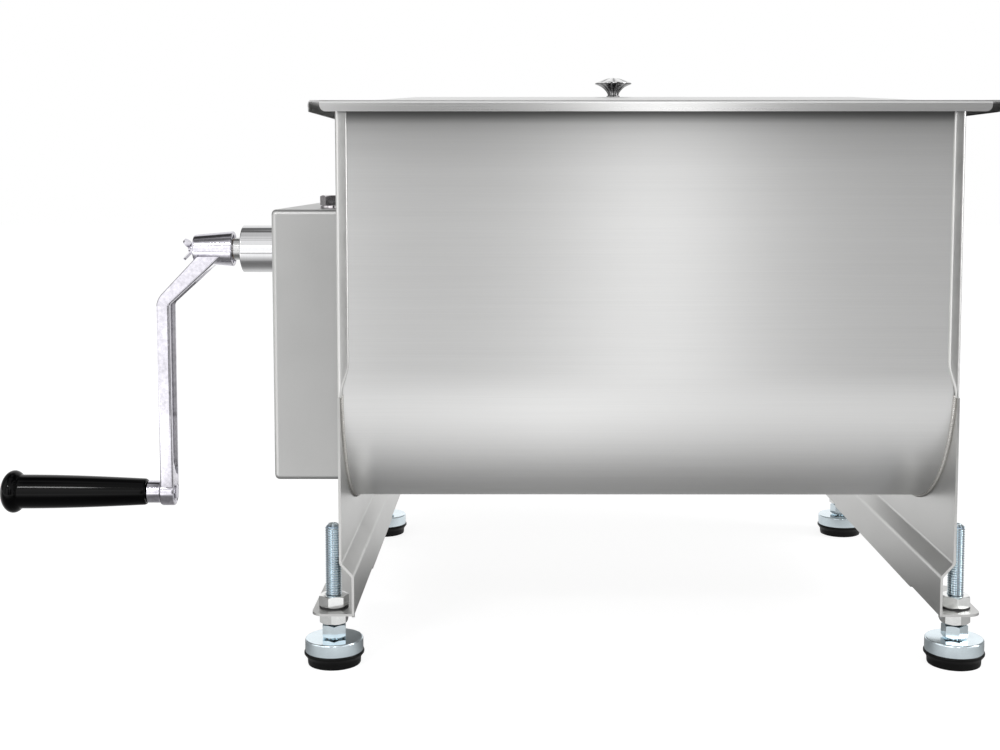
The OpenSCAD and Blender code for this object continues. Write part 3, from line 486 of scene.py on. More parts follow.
def newTree(name, given):
    tree = bpy.data.node_groups.new(name, "GeometryNodeTree")
    names = {}
    for label, kind, value in [("Geometry", "Geometry", None)] + given:
        socket = tree.interface.new_socket(name=label, in_out="INPUT", socket_type="NodeSocket" + kind)
        names[label] = socket.identifier
        if value is not None:
            socket.default_value = value
    tree.interface.new_socket(name="Geometry", in_out="OUTPUT", socket_type="NodeSocketGeometry")
    return tree, names, tree.nodes.new("NodeGroupInput").outputs


def endTree(tree, given, shape):
    whole = addNode(tree, "GeometryNodeRealizeInstances", {"Geometry": shape})
    paint = addNode(tree, "GeometryNodeSetMaterial", {"Geometry": whole.outputs["Geometry"],
                                                      "Material": given["Finish"]})
    addNode(tree, "NodeGroupOutput", {"Geometry": paint.outputs["Geometry"]})


def makeRepeatTree():
    tree, names, given = newTree("repeatShape", [("Shape", "Object", None), ("Size", "Float", 1.0),
                                                 ("Finish", "Material", None)])
    shape = addNode(tree, "GeometryNodeObjectInfo", {"Object": given["Shape"]})
    turn = addNode(tree, "GeometryNodeInputNamedAttribute", {"Name": "turn"}, data_type="FLOAT_VECTOR")
    euler = addNode(tree, "FunctionNodeEulerToRotation", {"Euler": turn.outputs["Attribute"]})
    spots = addNode(tree, "GeometryNodeInstanceOnPoints", {
        "Points": given["Geometry"], "Instance": shape.outputs["Geometry"],
        "Rotation": euler.outputs["Rotation"], "Scale": given["Size"]})
    endTree(tree, given, spots.outputs["Instances"])
    return tree, names


def makeThreadTree():
    thread = {"ridge": 0.36, "resolution": 28, "corners": 4}
    tree, names, given = newTree("screwThread", [("Pitch", "Float", 1.5), ("Length", "Float", 60.0),
                                                 ("Radius", "Float", 5.0), ("Start", "Vector", None),
                                                 ("Finish", "Material", None)])

    half = combined(tree, "MULTIPLY", given["Pitch"], thread["ridge"])
    middle = combined(tree, "SUBTRACT", given["Radius"], half)
    spiral = addNode(tree, "GeometryNodeCurveSpiral", {
        "Resolution": thread["resolution"],
        "Rotations": combined(tree, "DIVIDE", given["Length"], given["Pitch"]), "Start Radius": middle,
        "End Radius": middle, "Height": given["Length"]})
    upright = addNode(tree, "GeometryNodeSetCurveNormal", {"Curve": spiral.outputs["Curve"]}, mode="Z_UP")
    ridge = addNode(tree, "GeometryNodeCurvePrimitiveCircle", {"Resolution": thread["corners"], "Radius": half})
    sweep = addNode(tree, "GeometryNodeCurveToMesh", {"Curve": upright.outputs["Curve"], "Fill Caps": True,
                                                      "Profile Curve": ridge.outputs["Curve"]})
    move = addNode(tree, "GeometryNodeTransform",
                   {"Geometry": sweep.outputs["Mesh"], "Translation": given["Start"]})
    join = addNode(tree, "GeometryNodeJoinGeometry", {"Geometry": given["Geometry"]})
    tree.links.new(move.outputs["Geometry"], join.inputs["Geometry"])
    endTree(tree, given, join.outputs["Geometry"])
    return tree, names


repeatTree, repeatNames = makeRepeatTree()
threadTree, threadNames = makeThreadTree()


def throughTree(mesh, name, tree, names, values):
    holder = linkObject("holder", mesh)
    modifier = holder.modifiers.new("shape", "NODES")
    modifier.node_group = tree
    for label, value in values.items():
        modifier[names[label]] = value
    return evaluated(holder, name)


def repeated(template, spots, name, slotName, body, replaced=(), sharp=35):
    # template is a bmesh about its own origin; spots are (place, turn) pairs
    shape = linkObject(name + "Shape", toMesh(template, name + "Shape"))
    points = bpy.data.meshes.new(name + "Spots")
    points.from_pydata([place for place, turn in spots], [], [])
    turns = points.attributes.new("turn", "FLOAT_VECTOR", "POINT")
    turns.data.foreach_set("vector", [angle for place, turn in spots for angle in turn])
    mesh = throughTree(points, name, repeatTree, repeatNames,
                       {"Shape": shape, "Size": 1.0, "Finish": mats[slotName]})
    bpy.data.objects.remove(shape)
    mesh.transform(toRow)
    finishMesh(mesh, name, slotName, body, replaced, sharp)


def threaded(core, thread, name, slotName, body, replaced, sharp, centre):
    # core is a bmesh about Z; the thread starts at height thread["low"]
    mesh = throughTree(toMesh(core, name + "Core"), name, threadTree, threadNames, {
        "Pitch": thread["pitch"], "Length": thread["length"], "Radius": thread["radius"],
        "Start": (0.0, 0.0, thread["low"]), "Finish": mats[slotName]})
    mesh.transform(toRow @ Matrix.Translation(centre))
    finishMesh(mesh, name, slotName, body, replaced, sharp)


# tank: a W-shaped trough of thin sheet, with its grain along X

def makeTank():
    size = {"outer": 93.0, "wall": 177.0, "sheet": 1.5, "halfLength": 183.0, "steps": 60}
    y, half, bm, lines = spans["shaftY"], size["halfLength"], bmesh.new(), []
    uv = bm.loops.layers.uv.new("grain")
    for inset in (0, size["sheet"]):
        radius, wall = size["outer"] - inset, size["wall"] - inset
        meet = degrees(acos(y / radius))
        line = [(-wall, levels["rim"])]
        line += arcPoints((-y, levels["axis"]), radius, 180, 360 - meet, size["steps"])
        line += arcPoints((y, levels["axis"]), radius, 180 + meet, 360, size["steps"])[1:]
        lines.append(line + [(wall, levels["rim"])])
    columns = [[[bm.verts.new((x, *point)) for x in (-half, half)] for point in line] for line in lines]
    for line, column in zip(lines, columns):
        run = 0.0
        for i in range(len(line) - 1):
            step = (Vector(line[i + 1]) - Vector(line[i])).length
            face = bm.faces.new([column[i][0], column[i][1], column[i + 1][1], column[i + 1][0]])
            for loop, (s, x) in zip(face.loops,
                                    ((run, -half), (run, half), (run + step, half), (run + step, -half))):
                loop[uv].uv = (s / 1000, x / 1000)
            run += step
    outer, inner = columns
    for i in range(len(outer) - 1):
        for end in (0, 1):
            bm.faces.new([outer[i][end], outer[i + 1][end], inner[i + 1][end], inner[i][end]])
    for i in (0, -1):
        bm.faces.new([outer[i][0], outer[i][1], inner[i][1], inner[i][0]])
    # the sheet's cut edges get a slanted direction, so that no face is without one
    for face in bm.faces:
        if all(loop[uv].uv.length < 1e-9 for loop in face.loops):
            for loop in face.loops:
                co = loop.vert.co
                loop[uv].uv = (co.z / 1000 + co.y / 3000, co.x / 1000 + co.y / 1700)
    finishPiece(bm, "tank_shell", "tank_steel", "root", ["tank"], 30)


# end plates: flat sheet, joggled skirt, foot tabs bent outwards and lips folded over the tank

def makeEndPlate(side, name, holeRadius):
    size = {"t": 1.5, "flatLow": 78.0, "fold": 172.0, "bendTop": 66.7, "bendLow": 58.7, "bendRadius": 3.2,
            "skirtMid": 176.35, "skirtLow": 33.6, "split": 46.0, "corner": 1.5,
            "tabFar": 202.2, "tabNear": 113.5, "tabNearLeft": 72.0, "tabEnd": 175.5, "tabCorner": 8.0,
            "tabBend": 1.5, "tabStart": 4.2, "tabSplit": 38.6, "hole": 5.5,
            "lip": 7.0, "bend": 2.0, "lipLow": 167.0, "lipRise": 21.0, "lipTuck": 2.2, "lipTop": 6.0}
    y, out, mid = spans["plateY"], spans["plateOut"], (spans["plateIn"] + spans["plateOut"]) / 2
    bm, t, low, foot, lipLow = bmesh.new(), size["t"], size["flatLow"], size["skirtLow"], size["lipLow"]
    skirt, split, fold = size["skirtMid"], size["split"], size["fold"]
    outline = [(-y, low), (y, low), (y, lipLow), (fold, lipLow), (fold, levels["rim"]), (-fold, levels["rim"]),
               (-fold, lipLow), (-y, lipLow)]
    holes = [arcPoints((s * spans["shaftY"], levels["axis"]), holeRadius, 0, 352.5, 47) for s in (-1, 1)]
    prism(bm, outline, side * spans["plateIn"], side * out, "x", holes)
    spine = [(side * mid, low), (side * mid, size["bendTop"]), (side * skirt, size["bendLow"]),
             (side * skirt, split)]
    bentSheet(bm, rounded(spine, size["bendRadius"], 6, closed=False), t, -y, y, "y")
    near, far, cut = size["tabNear"] if side > 0 else size["tabNearLeft"], size["tabEnd"], size["tabSplit"]
    outline = [(-y, split), (-y, foot), (-far, foot), (-far, cut), (-near, cut), (-near, foot),
               (near, foot), (near, cut), (far, cut), (far, foot), (y, foot), (y, split)]
    corners = [size["corner"] if i in (1, 5, 6, 10) else 0 for i in range(len(outline))]
    prism(bm, rounded(outline, corners, 3), side * (skirt - t / 2), side * (skirt + t / 2), "x")
    tabMid, start = foot + t / 2, side * (skirt + size["tabStart"])
    for s in (-1, 1):
        spine = [(side * skirt, cut), (side * skirt, tabMid), (start, tabMid)]
        bentSheet(bm, rounded(spine, size["tabBend"], 6, closed=False), t, *sorted((s * near, s * far)), "y")
        end = side * size["tabFar"]
        tab = rounded([(start, s * near), (end, s * near), (end, s * far), (start, s * far)],
                      [0, size["tabCorner"], size["tabCorner"], 0], 7)
        prism(bm, tab, foot, foot + t, "z",
              [arcPoints((side * feet["x"], s * feet["y"]), size["hole"], 0, 352.5, 47)])
        # the lip widens upwards from nothing, and tucks in under the lid
        r, rows, rim = size["bend"], [], levels["rim"]
        for z in [lipLow + size["lipRise"] * k / 10 for k in range(11)] + [rim - size["lipTop"], rim - 2, rim]:
            part = min(1.0, (z - lipLow) / size["lipRise"])
            tuck = size["lipTuck"] * max(0.0, (z - rim + size["lipTop"]) / size["lipTop"])
            edge = out - r - 0.5 - (size["lip"] - r - 0.5) * (3 * part ** 2 - 2 * part ** 3) + tuck
            path = [(out, fold), (out, y - r)] + arcPoints((out - r, y - r), r, 0, 90, 5)[1:]
            path += [(edge + 1.4, y), (edge + 0.6, y - 0.25), (edge + 0.15, y - 0.75), (edge, y - t),
                     (out - r, y - t)]
            path += arcPoints((out - r, y - r), r - t, 90, 0, 3)[1:] + [(out - t, fold)]
            rows.append([(side * px, s * py, z) for px, py in path])
        loftRows(bm, rows)
    finishPiece(bm, name, "plate_steel", "root", [name.replace("_sheet", "")], 32)


# gear case and the collar that the crank runs in

def makeGearCase():
    size = {"face": -229.5, "back": -184.5, "half": 138.5, "low": 109.0, "high": 277.6, "corner": 3.2,
            "edge": 3.0, "sheet": 1.5, "steps": 5}
    bm, edge, sheet = bmesh.new(), size["edge"], size["sheet"]
    turns = [radians(90 * k / size["steps"]) for k in range(size["steps"] + 1)]
    rows = [(size["face"] + edge * (1 - cos(a)), edge * (1 - sin(a)), size["corner"]) for a in turns]
    rows += [(size["back"], 0.0, size["corner"]), (size["back"], sheet, size["corner"] - 1.0),
             (size["face"] + sheet, sheet, size["corner"] - 1.0)]
    loops = []
    for x, inset, corner in rows:
        radius = max(0.4, corner - 0.7 * inset)
        y, low = size["half"] - inset - radius, size["low"] + inset + radius
        high = size["high"] - inset - radius
        middles = ((y, high, 0), (-y, high, 90), (-y, low, 180), (y, low, 270))
        loops.append([(x, *point) for my, mz, a in middles
                      for point in arcPoints((my, mz), radius, a, a + 90, size["steps"])])
    loftRows(bm, loops)
    finishPiece(bm, "gear_case_cover", "case_steel", "root", ["gear_case"], 40)


def makeCollar():
    size = {"left": -273.5, "right": -229.3, "radius": 16.75, "edge": 0.9, "bore": 10.6, "chamfer": 0.6,
            "neck": [(10.57, -229.0), (14.05, -229.0), (14.05, -221.0), (10.57, -221.0)]}
    bm, left, right, radius, bore = bmesh.new(), size["left"], size["right"], size["radius"], size["bore"]
    arc = arcPoints((left + size["edge"], radius - size["edge"]), size["edge"], 180, 90, 5)
    profile = [(bore, right), (bore, left + size["chamfer"]), (bore + size["chamfer"], left)]
    profile += [(r, x) for x, r in arc] + [(radius, right - 0.5), (radius - 0.3, right)]
    lathe(bm, profile, "x", (0, 0, levels["crank"]), 96, closed=True)
    lathe(bm, size["neck"], "x", (0, 0, levels["crank"]), 64, closed=True)
    finishPiece(bm, "crank_collar_turned", "polished_collar", "root", ["crank_collar"], 35)


# crank arm: tapered hub, I-shaped bar with an elbow, and the boss that holds the grip's spindle

def makeCrankArm():
    size = {"hubLeft": -308.5, "hubRight": -280.2, "hubEnd": 10.2, "hubWide": 12.65, "mouth": 9.7,
            "mouthDeep": 4.0, "bore": 8.02, "screwHole": 3.3, "cap": 4.0, "top": (-296.0, 241.4),
            "elbow": (-329.5, 208.6), "turn": 9.0, "step": 6.0, "thickTop": 6.2, "thickEnd": 4.65,
            "deepTop": 11.2, "deepEnd": 9.5, "groove": 1.7, "flange": 3.4, "edge": 1.5, "saddle": 10.4,
            "ledge": 240.9, "eyeLeft": -334.65, "eyeRight": -324.85, "eye": 9.75, "eyeBore": 4.05}
    bm, left, right = bmesh.new(), size["hubLeft"], size["hubRight"]
    hole, end, wide = size["screwHole"], size["hubEnd"], size["hubWide"]
    mouth, deep = size["mouth"], size["mouthDeep"]
    hub = [(hole, left + size["cap"]), (hole, left), (end - 1.6, left), (end - 0.5, left + 0.45),
           (end, left + 1.6), (wide - 0.15, right - 1.2), (wide - 0.1, right - 0.5), (wide - 0.6, right),
           (mouth + 0.8, right), (mouth, right - 0.8), (mouth - 0.3, right - deep),
           (size["bore"], right - deep - 0.8), (size["bore"], left + size["cap"])]
    lathe(bm, hub, "x", (0, 0, levels["crank"]), 72, closed=True)
    path = [size["top"], size["elbow"], (size["elbow"][0], levels["handle"] + 5.0)]
    path = [Vector(point) for point in rounded(path, size["turn"], 10, closed=False)]
    dense = []
    for one, two in zip(path, path[1:]):
        parts = max(1, round((two - one).length / size["step"]))
        dense += [one.lerp(two, k / parts) for k in range(parts)]
    dense.append(path[-1])
    lengths, rows = [(b - a).length for a, b in zip(dense, dense[1:])], []
    for i, point in enumerate(dense):
        part = sum(lengths[:i]) / sum(lengths)
        ahead = (dense[min(i + 1, len(dense) - 1)] - dense[max(i - 1, 0)]).normalized()
        thick = size["thickTop"] + (size["thickEnd"] - size["thickTop"]) * min(1.0, part / 0.25)
        depth = size["deepTop"] + (size["deepEnd"] - size["deepTop"]) * max(0.0, (part - 0.2) / 0.8)
        # the groove fades out at both ends of the bar
        dip = size["groove"] * min(1.0, max(0.0, min((part - 0.02) / 0.1, (0.985 - part) / 0.06)))
        r, flange = size["edge"], depth - size["flange"]
        quarter = [(thick - dip, flange - 1.6), (thick, flange), (thick, depth - r)]
        quarter += [(thick - r + r * cos(a), depth - r + r * sin(a)) for a in map(radians, (30, 60, 90))]
        half = quarter + [(-n, d) for n, d in quarter[::-1]]
        loop = half + [(-n, -d) for n, d in half]
        row = [(point.x - ahead.y * n, d, point.y + ahead.x * n) for n, d in loop]
        if i == 0:
            # the bar's top follows the hub's round underside
            for k, (px, d, pz) in enumerate(row):
                goal = min(size["ledge"], levels["crank"] - sqrt(max(0.0, size["saddle"] ** 2 - d * d)))
                row[k] = (px - ahead.x / ahead.y * (pz - goal), d, goal)
        rows.append(row)
    grid = loftRows(bm, rows)
    # painted dark reflections: the small rounded edges of the bar take the darker tone, so they read as thin
    # dark lines
    soft = {row[k + turn] for row in grid[1:] for turn in (0, 12) for k in (2, 3, 4, 7, 8, 9)}
    eye, a, b = size["eye"], size["eyeLeft"], size["eyeRight"]
    ring = [(size["eyeBore"], a), (eye - 1.2, a), (eye - 0.35, a + 0.35), (eye, a + 1.2), (eye, b - 1.2),
            (eye - 0.35, b - 0.35), (eye - 1.2, b), (7.6, b), (7.2, b - 0.7), (6.6, b - 0.7), (6.2, b),
            (size["eyeBore"], b)]
    lathe(bm, ring, "x", (0, 0, levels["handle"]), 64, closed=True)
    markPaintedShade(bm, lambda vert: 1.0 if vert in soft else 0.0)
    finishPiece(bm, "crank_arm_cast", "arm_chrome", "crank", ["crank_arm"], 40)


def makeSpindle():
    size = {"left": -345.15, "eyeLeft": -334.65, "right": -323.85, "shoulder": 8.0, "flare": 1.2, "rivet": 5.0,
            "rod": 4.0, "end": -435.75}
    bm, a, b, c, end = bmesh.new(), size["left"], size["eyeLeft"], size["right"], size["end"]
    rod, shoulder, rivet = size["rod"], size["shoulder"], size["rivet"]
    profile = [(0, end), (rod - 0.5, end), (rod, end + 0.5), (rod, a - 0.01), (shoulder - 0.8, a),
               (shoulder, a + 0.8), (shoulder, b - 1.4), (shoulder + size["flare"] / 2, b - 0.4),
               (shoulder + size["flare"], b - 0.02), (rod, b), (rod, c - 1.0), (rivet, c - 1.0),
               (rivet, c - 0.5), (rivet - 0.5, c - 0.15), (rivet - 1.5, c), (0, c)]
    lathe(bm, profile, "x", (0, 0, levels["handle"]), 56)
    finishPiece(bm, "grip_spindle_turned", "arm_chrome", "crank", ["grip_spindle"], 35)


def makeGrip():
    size = {"right": -345.55, "length": 105.5, "start": 9.5, "wide": 12.2, "ball": 15.3, "ballHalf": 9.18,
            "taper": 87.78, "bore": 4.05, "boreDeep": 90.0, "steps": 24,
            "mouth": [(6.2, 2.0), (6.9, 1.4), (7.2, 0.5), (7.7, 0.08), (8.2, 0.0), (8.9, 0.3), (9.3, 0.9)]}
    bm, steps, centre = bmesh.new(), size["steps"], size["length"] - size["ballHalf"]
    profile = [(0, size["boreDeep"]), (size["bore"], size["boreDeep"]), (size["bore"], 2.2)] + size["mouth"]
    # the body swells from its mouth to the ball at its end
    profile += [(size["start"] + (size["wide"] - size["start"]) * sin(radians(90 * k / steps)),
                 1.8 + k / steps * (size["taper"] - 0.3)) for k in range(steps + 1)]
    profile += [(size["ball"] * cos(a), centre + size["ballHalf"] * sin(a))
                for a in map(radians, range(-36, 90, 6))] + [(0, size["length"])]
    lathe(bm, [(r, size["right"] - w) for r, w in profile], "x", (0, 0, levels["handle"]), 72)
    finishPiece(bm, "handle_grip_turned", "grip_plastic", "grip", ["handle_grip"], 30)


# lid: a crowned sheet with four folded edges, and its fluted knob

def makeLid():
    size = {"shift": 2.5, "halfX": 202.7, "halfY": 185.5, "low": 341.2, "t": 1.0, "bend": 2.0, "edge": 6.6,
            "notch": 8.0, "crownX": 178.0, "crownY": 172.0, "ridgeX": 150.0, "ridgeY": 8.0, "crown": 11.2,
            "soft": 0.10, "corner": 3.6}
    bm, low, t, soft = bmesh.new(), size["low"], size["t"], size["soft"]
    uv = bm.loops.layers.uv.new("grain")
    flatX, flatY = size["halfX"] - size["bend"], size["halfY"] - size["bend"]

    def softLeast(a, b):
        h = max(0.0, min(1.0, 0.5 + 0.5 * (b - a) / soft))
        return b * (1 - h) + a * h - soft * h * (1 - h)

    def height(x, y):
        # four slopes that meet in soft folds, up to a flat ridge
        fx = (size["crownX"] - abs(x)) / (size["crownX"] - size["ridgeX"])
        fy = (size["crownY"] - abs(y)) / (size["crownY"] - size["ridgeY"])
        f = max(0.0, softLeast(softLeast(fx, fy), 1.0))
        return size["crown"] * (f * f / soft if f < soft / 2 else f - soft / 4)

    def stations(flat, crown, ridge):
        marks = [k / 10 * ridge for k in range(11)] + [ridge + (crown - ridge) * k / 26 for k in range(1, 27)]
        marks += [crown + 2, flat]
        return [-m for m in marks[:0:-1]] + marks

    xs, ys = stations(flatX, size["crownX"], size["ridgeX"]), stations(flatY, size["crownY"], size["ridgeY"])
    top, under = ([[bm.verts.new((x, y, low + rise + height(x, y))) for y in ys] for x in xs]
                  for rise in (t, 0.0))
    for i in range(len(xs) - 1):
        for j in range(len(ys) - 1):
            bm.faces.new([top[i][j], top[i + 1][j], top[i + 1][j + 1], top[i][j + 1]])
            bm.faces.new([under[i][j], under[i][j + 1], under[i + 1][j + 1], under[i + 1][j]])
        for j in (0, -1):
            bm.faces.new([top[i][j], top[i + 1][j], under[i + 1][j], under[i][j]])
    for j in range(len(ys) - 1):
        for i in (0, -1):
            bm.faces.new([top[i][j], top[i][j + 1], under[i][j + 1], under[i][j]])
    # folded edges; each stops short of the corner with a rounded lower end
    bends = [radians(a) for a in range(0, 91, 10)]
    for axis, reach, flat in (("x", size["halfX"] - size["notch"], flatY),
                              ("y", size["halfY"] - size["notch"], flatX)):
        for s in (-1, 1):
            rows, mid = [], size["bend"] - t / 2
            line = [(size["corner"] * (1 - cos(a)) - reach, size["corner"] * (1 - sin(a))) for a in bends]
            for w, drop in line + [(-m, d) for m, d in line[::-1]]:
                foot = low + t - size["edge"] + drop
                spine = [(flat - 0.02, low + t / 2)] + arcPoints((flat, low + t / 2 - mid), mid, 90, 0, 6)[1:]
                spine += [(flat + mid, min(low - 0.9, foot + 0.6)), (flat + mid, min(low - 1.0, foot))]
                rows.append([placed(axis, s * u, v, w) for u, v in ribbonLoop(spine, t)])
            loftRows(bm, rows)
    bmesh.ops.translate(bm, verts=bm.verts, vec=(size["shift"], 0, 0))

    # painted shade: the underside and the inner faces of the folded edges take the darker tone
    def inside(vert):
        near = abs(vert.co.x - size["shift"]) < size["halfX"] - 0.5 and abs(vert.co.y) < size["halfY"] - 0.5
        return 1.0 if near and vert.co.z < low - 0.05 else 0.0

    markPaintedShade(bm, inside)
    for face in bm.faces:
        level = abs(face.normal.z) > 0.6 if face.normal.length else True
        for loop in face.loops:
            co = loop.vert.co
            loop[uv].uv = (co.y / 1000, co.x / 1000) if level else (co.z / 1000 + co.y / 4000, co.x / 1000)
    finishPiece(bm, "lid_pressed", "lid_steel", "lid", ["lid", "lid_edges"], 30)


def makeKnob():
    size = {"x": -10.9, "z": 353.4, "rim": 8.75, "radius": 13.1, "top": 13.3, "petals": 8, "flutes": 16,
            "dent": 0.62, "flute": 0.05,
            "stem": [(0, 0), (4.5, 0), (4.7, 0.3), (4.6, 0.6), (4.0, 0.8), (3.8, 1.1), (3.95, 1.8), (4.4, 2.8),
                     (5.2, 4.0), (6.4, 5.3), (8.0, 6.6), (9.8, 7.6), (11.6, 8.3)],
            "cap": [(11.4, 10.35), (9.6, 11.15), (7.6, 11.9), (5.4, 12.55), (3.2, 13.0), (1.4, 13.22)]}
    bm, rim, r = bmesh.new(), size["rim"], size["radius"]
    profile = size["stem"] + [(12.7, rim - 0.1), (r, rim + 0.25), (r, rim + 0.65), (r - 0.4, rim + 0.95)]
    profile += size["cap"] + [(0, size["top"])]

    def petal(angle):
        # from 0 between two petals to 1 on the middle of one
        return abs(sin(size["petals"] / 2 * angle))

    def flute(angle):
        return abs(cos(size["flutes"] / 2 * angle))

    def bent(angle, radius, w):
        if w > rim + 0.7:
            reach = max(0.0, 1 - abs(radius - 9.0) / 6.5)
            return radius, w - size["dent"] * (1 - petal(angle)) ** 1.5 * reach
        if w > rim - 0.2:
            return radius * (1 - 0.02 * (1 - petal(angle))), w
        share = max(0.0, min(1.0, (w - 1.0) / 3.0)) * max(0.0, min(1.0, (rim - w) / 1.5))
        return radius * (1 - size["flute"] * share * flute(angle)), w

    def dark(vert):
        # painted shade on the stem, the rim and the hollows between the petals
        x, y, w = vert.co.x - size["x"], vert.co.y, vert.co.z - size["z"]
        angle = atan2(y, x)
        stem = 0.55 + 0.45 * flute(angle) ** 2 if w < rim else 0.0
        onCap = rim + 0.9 < w < size["top"] - 0.1 and hypot(x, y) < r - 1
        return max(stem, (1 - petal(angle)) ** 2 if onCap else 0.0, 0.7 if rim - 0.2 < w < rim + 0.5 else 0.0)

    lathe(bm, profile, "z", (size["x"], 0, size["z"]), 128, shape=bent)
    markPaintedShade(bm, dark)
    finishPiece(bm, "lid_knob_fluted", "knob_chrome", "lid", ["lid_knob"], 28)


# wing screw, nuts, bolts, bearing cups and welds

def makeWingScrew():
    size = {"left": -312.5, "right": -308.6, "thread": 2.95, "end": -292.7, "disc": 4.7, "long": (6.6, 8.6),
            "wide": 4.4, "half": 0.85, "edge": 0.45, "splay": 47.0, "turn": 18.0, "rootX": -310.6, "rootZ": 2.2}
    bm = bmesh.new()
    left, right, disc, thread, end = (size[k] for k in ("left", "right", "disc", "thread", "end"))
    profile = [(0, left), (2.6, left), (3.2, left + 0.5), (3.5, left + 1.4), (disc - 0.4, right - 1.6),
               (disc, right - 1.2), (disc, right - 0.2), (thread, right - 0.2), (thread, end - 0.7),
               (thread - 0.7, end), (0, end)]
    lathe(bm, profile, "x", (0, 0, levels["crank"]), 40)
    for s, long in zip((1, -1), size["long"]):
        fin, wide = bmesh.new(), size["wide"]
        outline = [(-2.6, -1.0), (2.6, -1.0), (wide, long - 3.6)]
        outline += arcPoints((0, long - wide), wide, 10, 170, 10) + [(-wide, long - 3.6)]
        prism(fin, outline, -size["half"], size["half"], "x")
        sharp = [e for e in fin.edges if len(e.link_faces) == 2 and e.calc_face_angle(0) > 0.7]
        bmesh.ops.bevel(fin, geom=sharp, offset=size["edge"], offset_type="OFFSET", segments=2, profile=0.5,
                        affect="EDGES", clamp_overlap=True)
        place = Matrix.Translation((0, 0, levels["crank"])) @ Matrix.Rotation(radians(size["turn"]), 4, "X")
        place = place @ Matrix.Translation((size["rootX"], 0, s * size["rootZ"]))
        place = place @ Matrix.Rotation(radians(-s * size["splay"]), 4, "Y")
        if s < 0:
            place = place @ Matrix.Rotation(pi, 4, "X")
        bmesh.ops.transform(fin, matrix=place, verts=fin.verts)
        bm.from_mesh(toMesh(fin, "fin"))
    finishPiece(bm, "wing_screw_forged", "arm_chrome", "crank", ["crank_wing_screw"], 35)


def makeFootNuts():
    size = {"flats": 16.0, "height": 8.0, "hole": 5.04, "turn": (-14.3, -4.0, 9.0, 22.0), "lowTurn": 11,
            "low": 25.6, "seat": 8.9, "seatHole": 5.2, "seatHigh": 0.75}
    rim, floor = size["seatHigh"], levels["tabTop"]
    for name, level, base, extra, node in (("foot_nuts_lower", size["low"], 0, size["lowTurn"],
                                            "lower_foot_nuts"),
                                           ("foot_nuts_upper", floor, rim, 0, "upper_foot_nuts")):
        nut = bmesh.new()
        hexBody(nut, size["flats"], base, size["height"], size["hole"])
        spots = [((sx * feet["x"], sy * feet["y"], level), (0, 0, radians(turn + extra)))
                 for (sx, sy), turn in zip(footSides.values(), size["turn"])]
        repeated(nut, spots, name, "clamp_nut", "root", [node])
    # a thin dark ring under each upper nut paints the line of shade where the nut sits on the tab
    seat, hole, out = bmesh.new(), size["seatHole"], size["seat"]
    lathe(seat, [(hole, 0), (out, 0), (out, rim), (hole, rim)], "z", segments=48, closed=True)
    spots = [((sx * feet["x"], sy * feet["y"], floor), (0, 0, 0)) for sx, sy in footSides.values()]
    repeated(seat, spots, "foot_nut_seats", "seal_rubber", "root")


def makeCaseBolts():
    size = {"x": -194.0, "y": 108.5, "top": 277.6, "washer": 9.0, "washerT": 2.0, "hole": 5.3, "flats": 16.0,
            "head": 6.4, "core": 4.8, "depth": -9.5, "turn": 30}
    disc, bolt, w, t = bmesh.new(), bmesh.new(), size["washer"], size["washerT"]
    profile = [(size["hole"], 0), (w - 0.3, 0), (w, 0.3), (w, t - 0.3), (w - 0.3, t), (size["hole"], t)]
    lathe(disc, profile, "z", segments=48, closed=True)
    places = [(size["x"], s * size["y"], size["top"]) for s in (-1, 1)]
    repeated(disc, [(place, (0, 0, 0)) for place in places], "case_washers_plain", "dark_bolt", "root",
             ["case_washers"])
    hexBody(bolt, size["flats"], t, t + size["head"], cutLow=False)
    core, low = size["core"], size["depth"]
    lathe(bolt, [(0, low), (core - 1.0, low), (core, low + 1.0), (core, t + 0.2), (0, t + 0.2)], "z",
          segments=32)
    turn = (0, 0, radians(size["turn"]))
    repeated(bolt, [(place, turn) for place in places], "case_bolts_hex", "dark_bolt", "root", ["case_bolts"])


def makeBearingCups():
    size = {"flange": 31.95, "t": 3.0, "body": 18.0, "out": 18.0, "bush": 14.03, "floor": 3.0, "centre": 7.0,
            "ring": 24.97, "stud": 3.0, "tip": 194.3, "nutFlats": 10.0, "nutHigh": 4.8}
    plate, body, f, tip, stud = spans["plateOut"], size["body"], size["flange"], size["tip"], size["stud"]
    out, t, mark = plate + size["out"], plate + size["t"], size["centre"]
    profile = [(0, out - 0.5), (0, out - size["floor"]), (size["bush"], out - size["floor"]),
               (size["bush"], plate), (f - 0.3, plate), (f, plate + 0.3), (f, t - 0.5), (f - 0.5, t),
               (body + 1.6, t), (body + 0.7, t + 0.3), (body + 0.15, t + 0.9), (body, t + 1.7),
               (body, out - 1.4), (body - 0.4, out - 0.45), (body - 1.4, out), (mark, out),
               (mark - 0.4, out - 0.5)]
    profile = profile[1:] + profile[:1]
    spots = []
    for s, name in ((-1, "front"), (1, "rear")):
        bm, y = bmesh.new(), s * spans["shaftY"]
        lathe(bm, profile, "x", (0, y, levels["axis"]), 80)
        finishPiece(bm, name + "_bearing_cup_turned", "inner_steel", "root", ["right_bearing_cups"] if s < 0
                    else ())
        spots += [((0, ringY, ringZ), (radians(45 + 90 * k), 0, 0)) for k, (ringY, ringZ)
                  in enumerate(arcPoints((y, levels["axis"]), size["ring"], 45, 315, 3))]
    nut, rod = bmesh.new(), bmesh.new()
    hexBody(nut, size["nutFlats"], t, t + size["nutHigh"], stud + 0.02, axis="x")
    repeated(nut, spots, "cup_nuts_hex", "clamp_nut", "root", ["cup_nuts"])
    lathe(rod, [(0, plate), (stud, plate), (stud, tip - 0.6), (stud - 0.6, tip), (0, tip)], "x", segments=24)
    repeated(rod, spots, "cup_studs_plain", "shaft_steel", "root", ["cup_studs"])


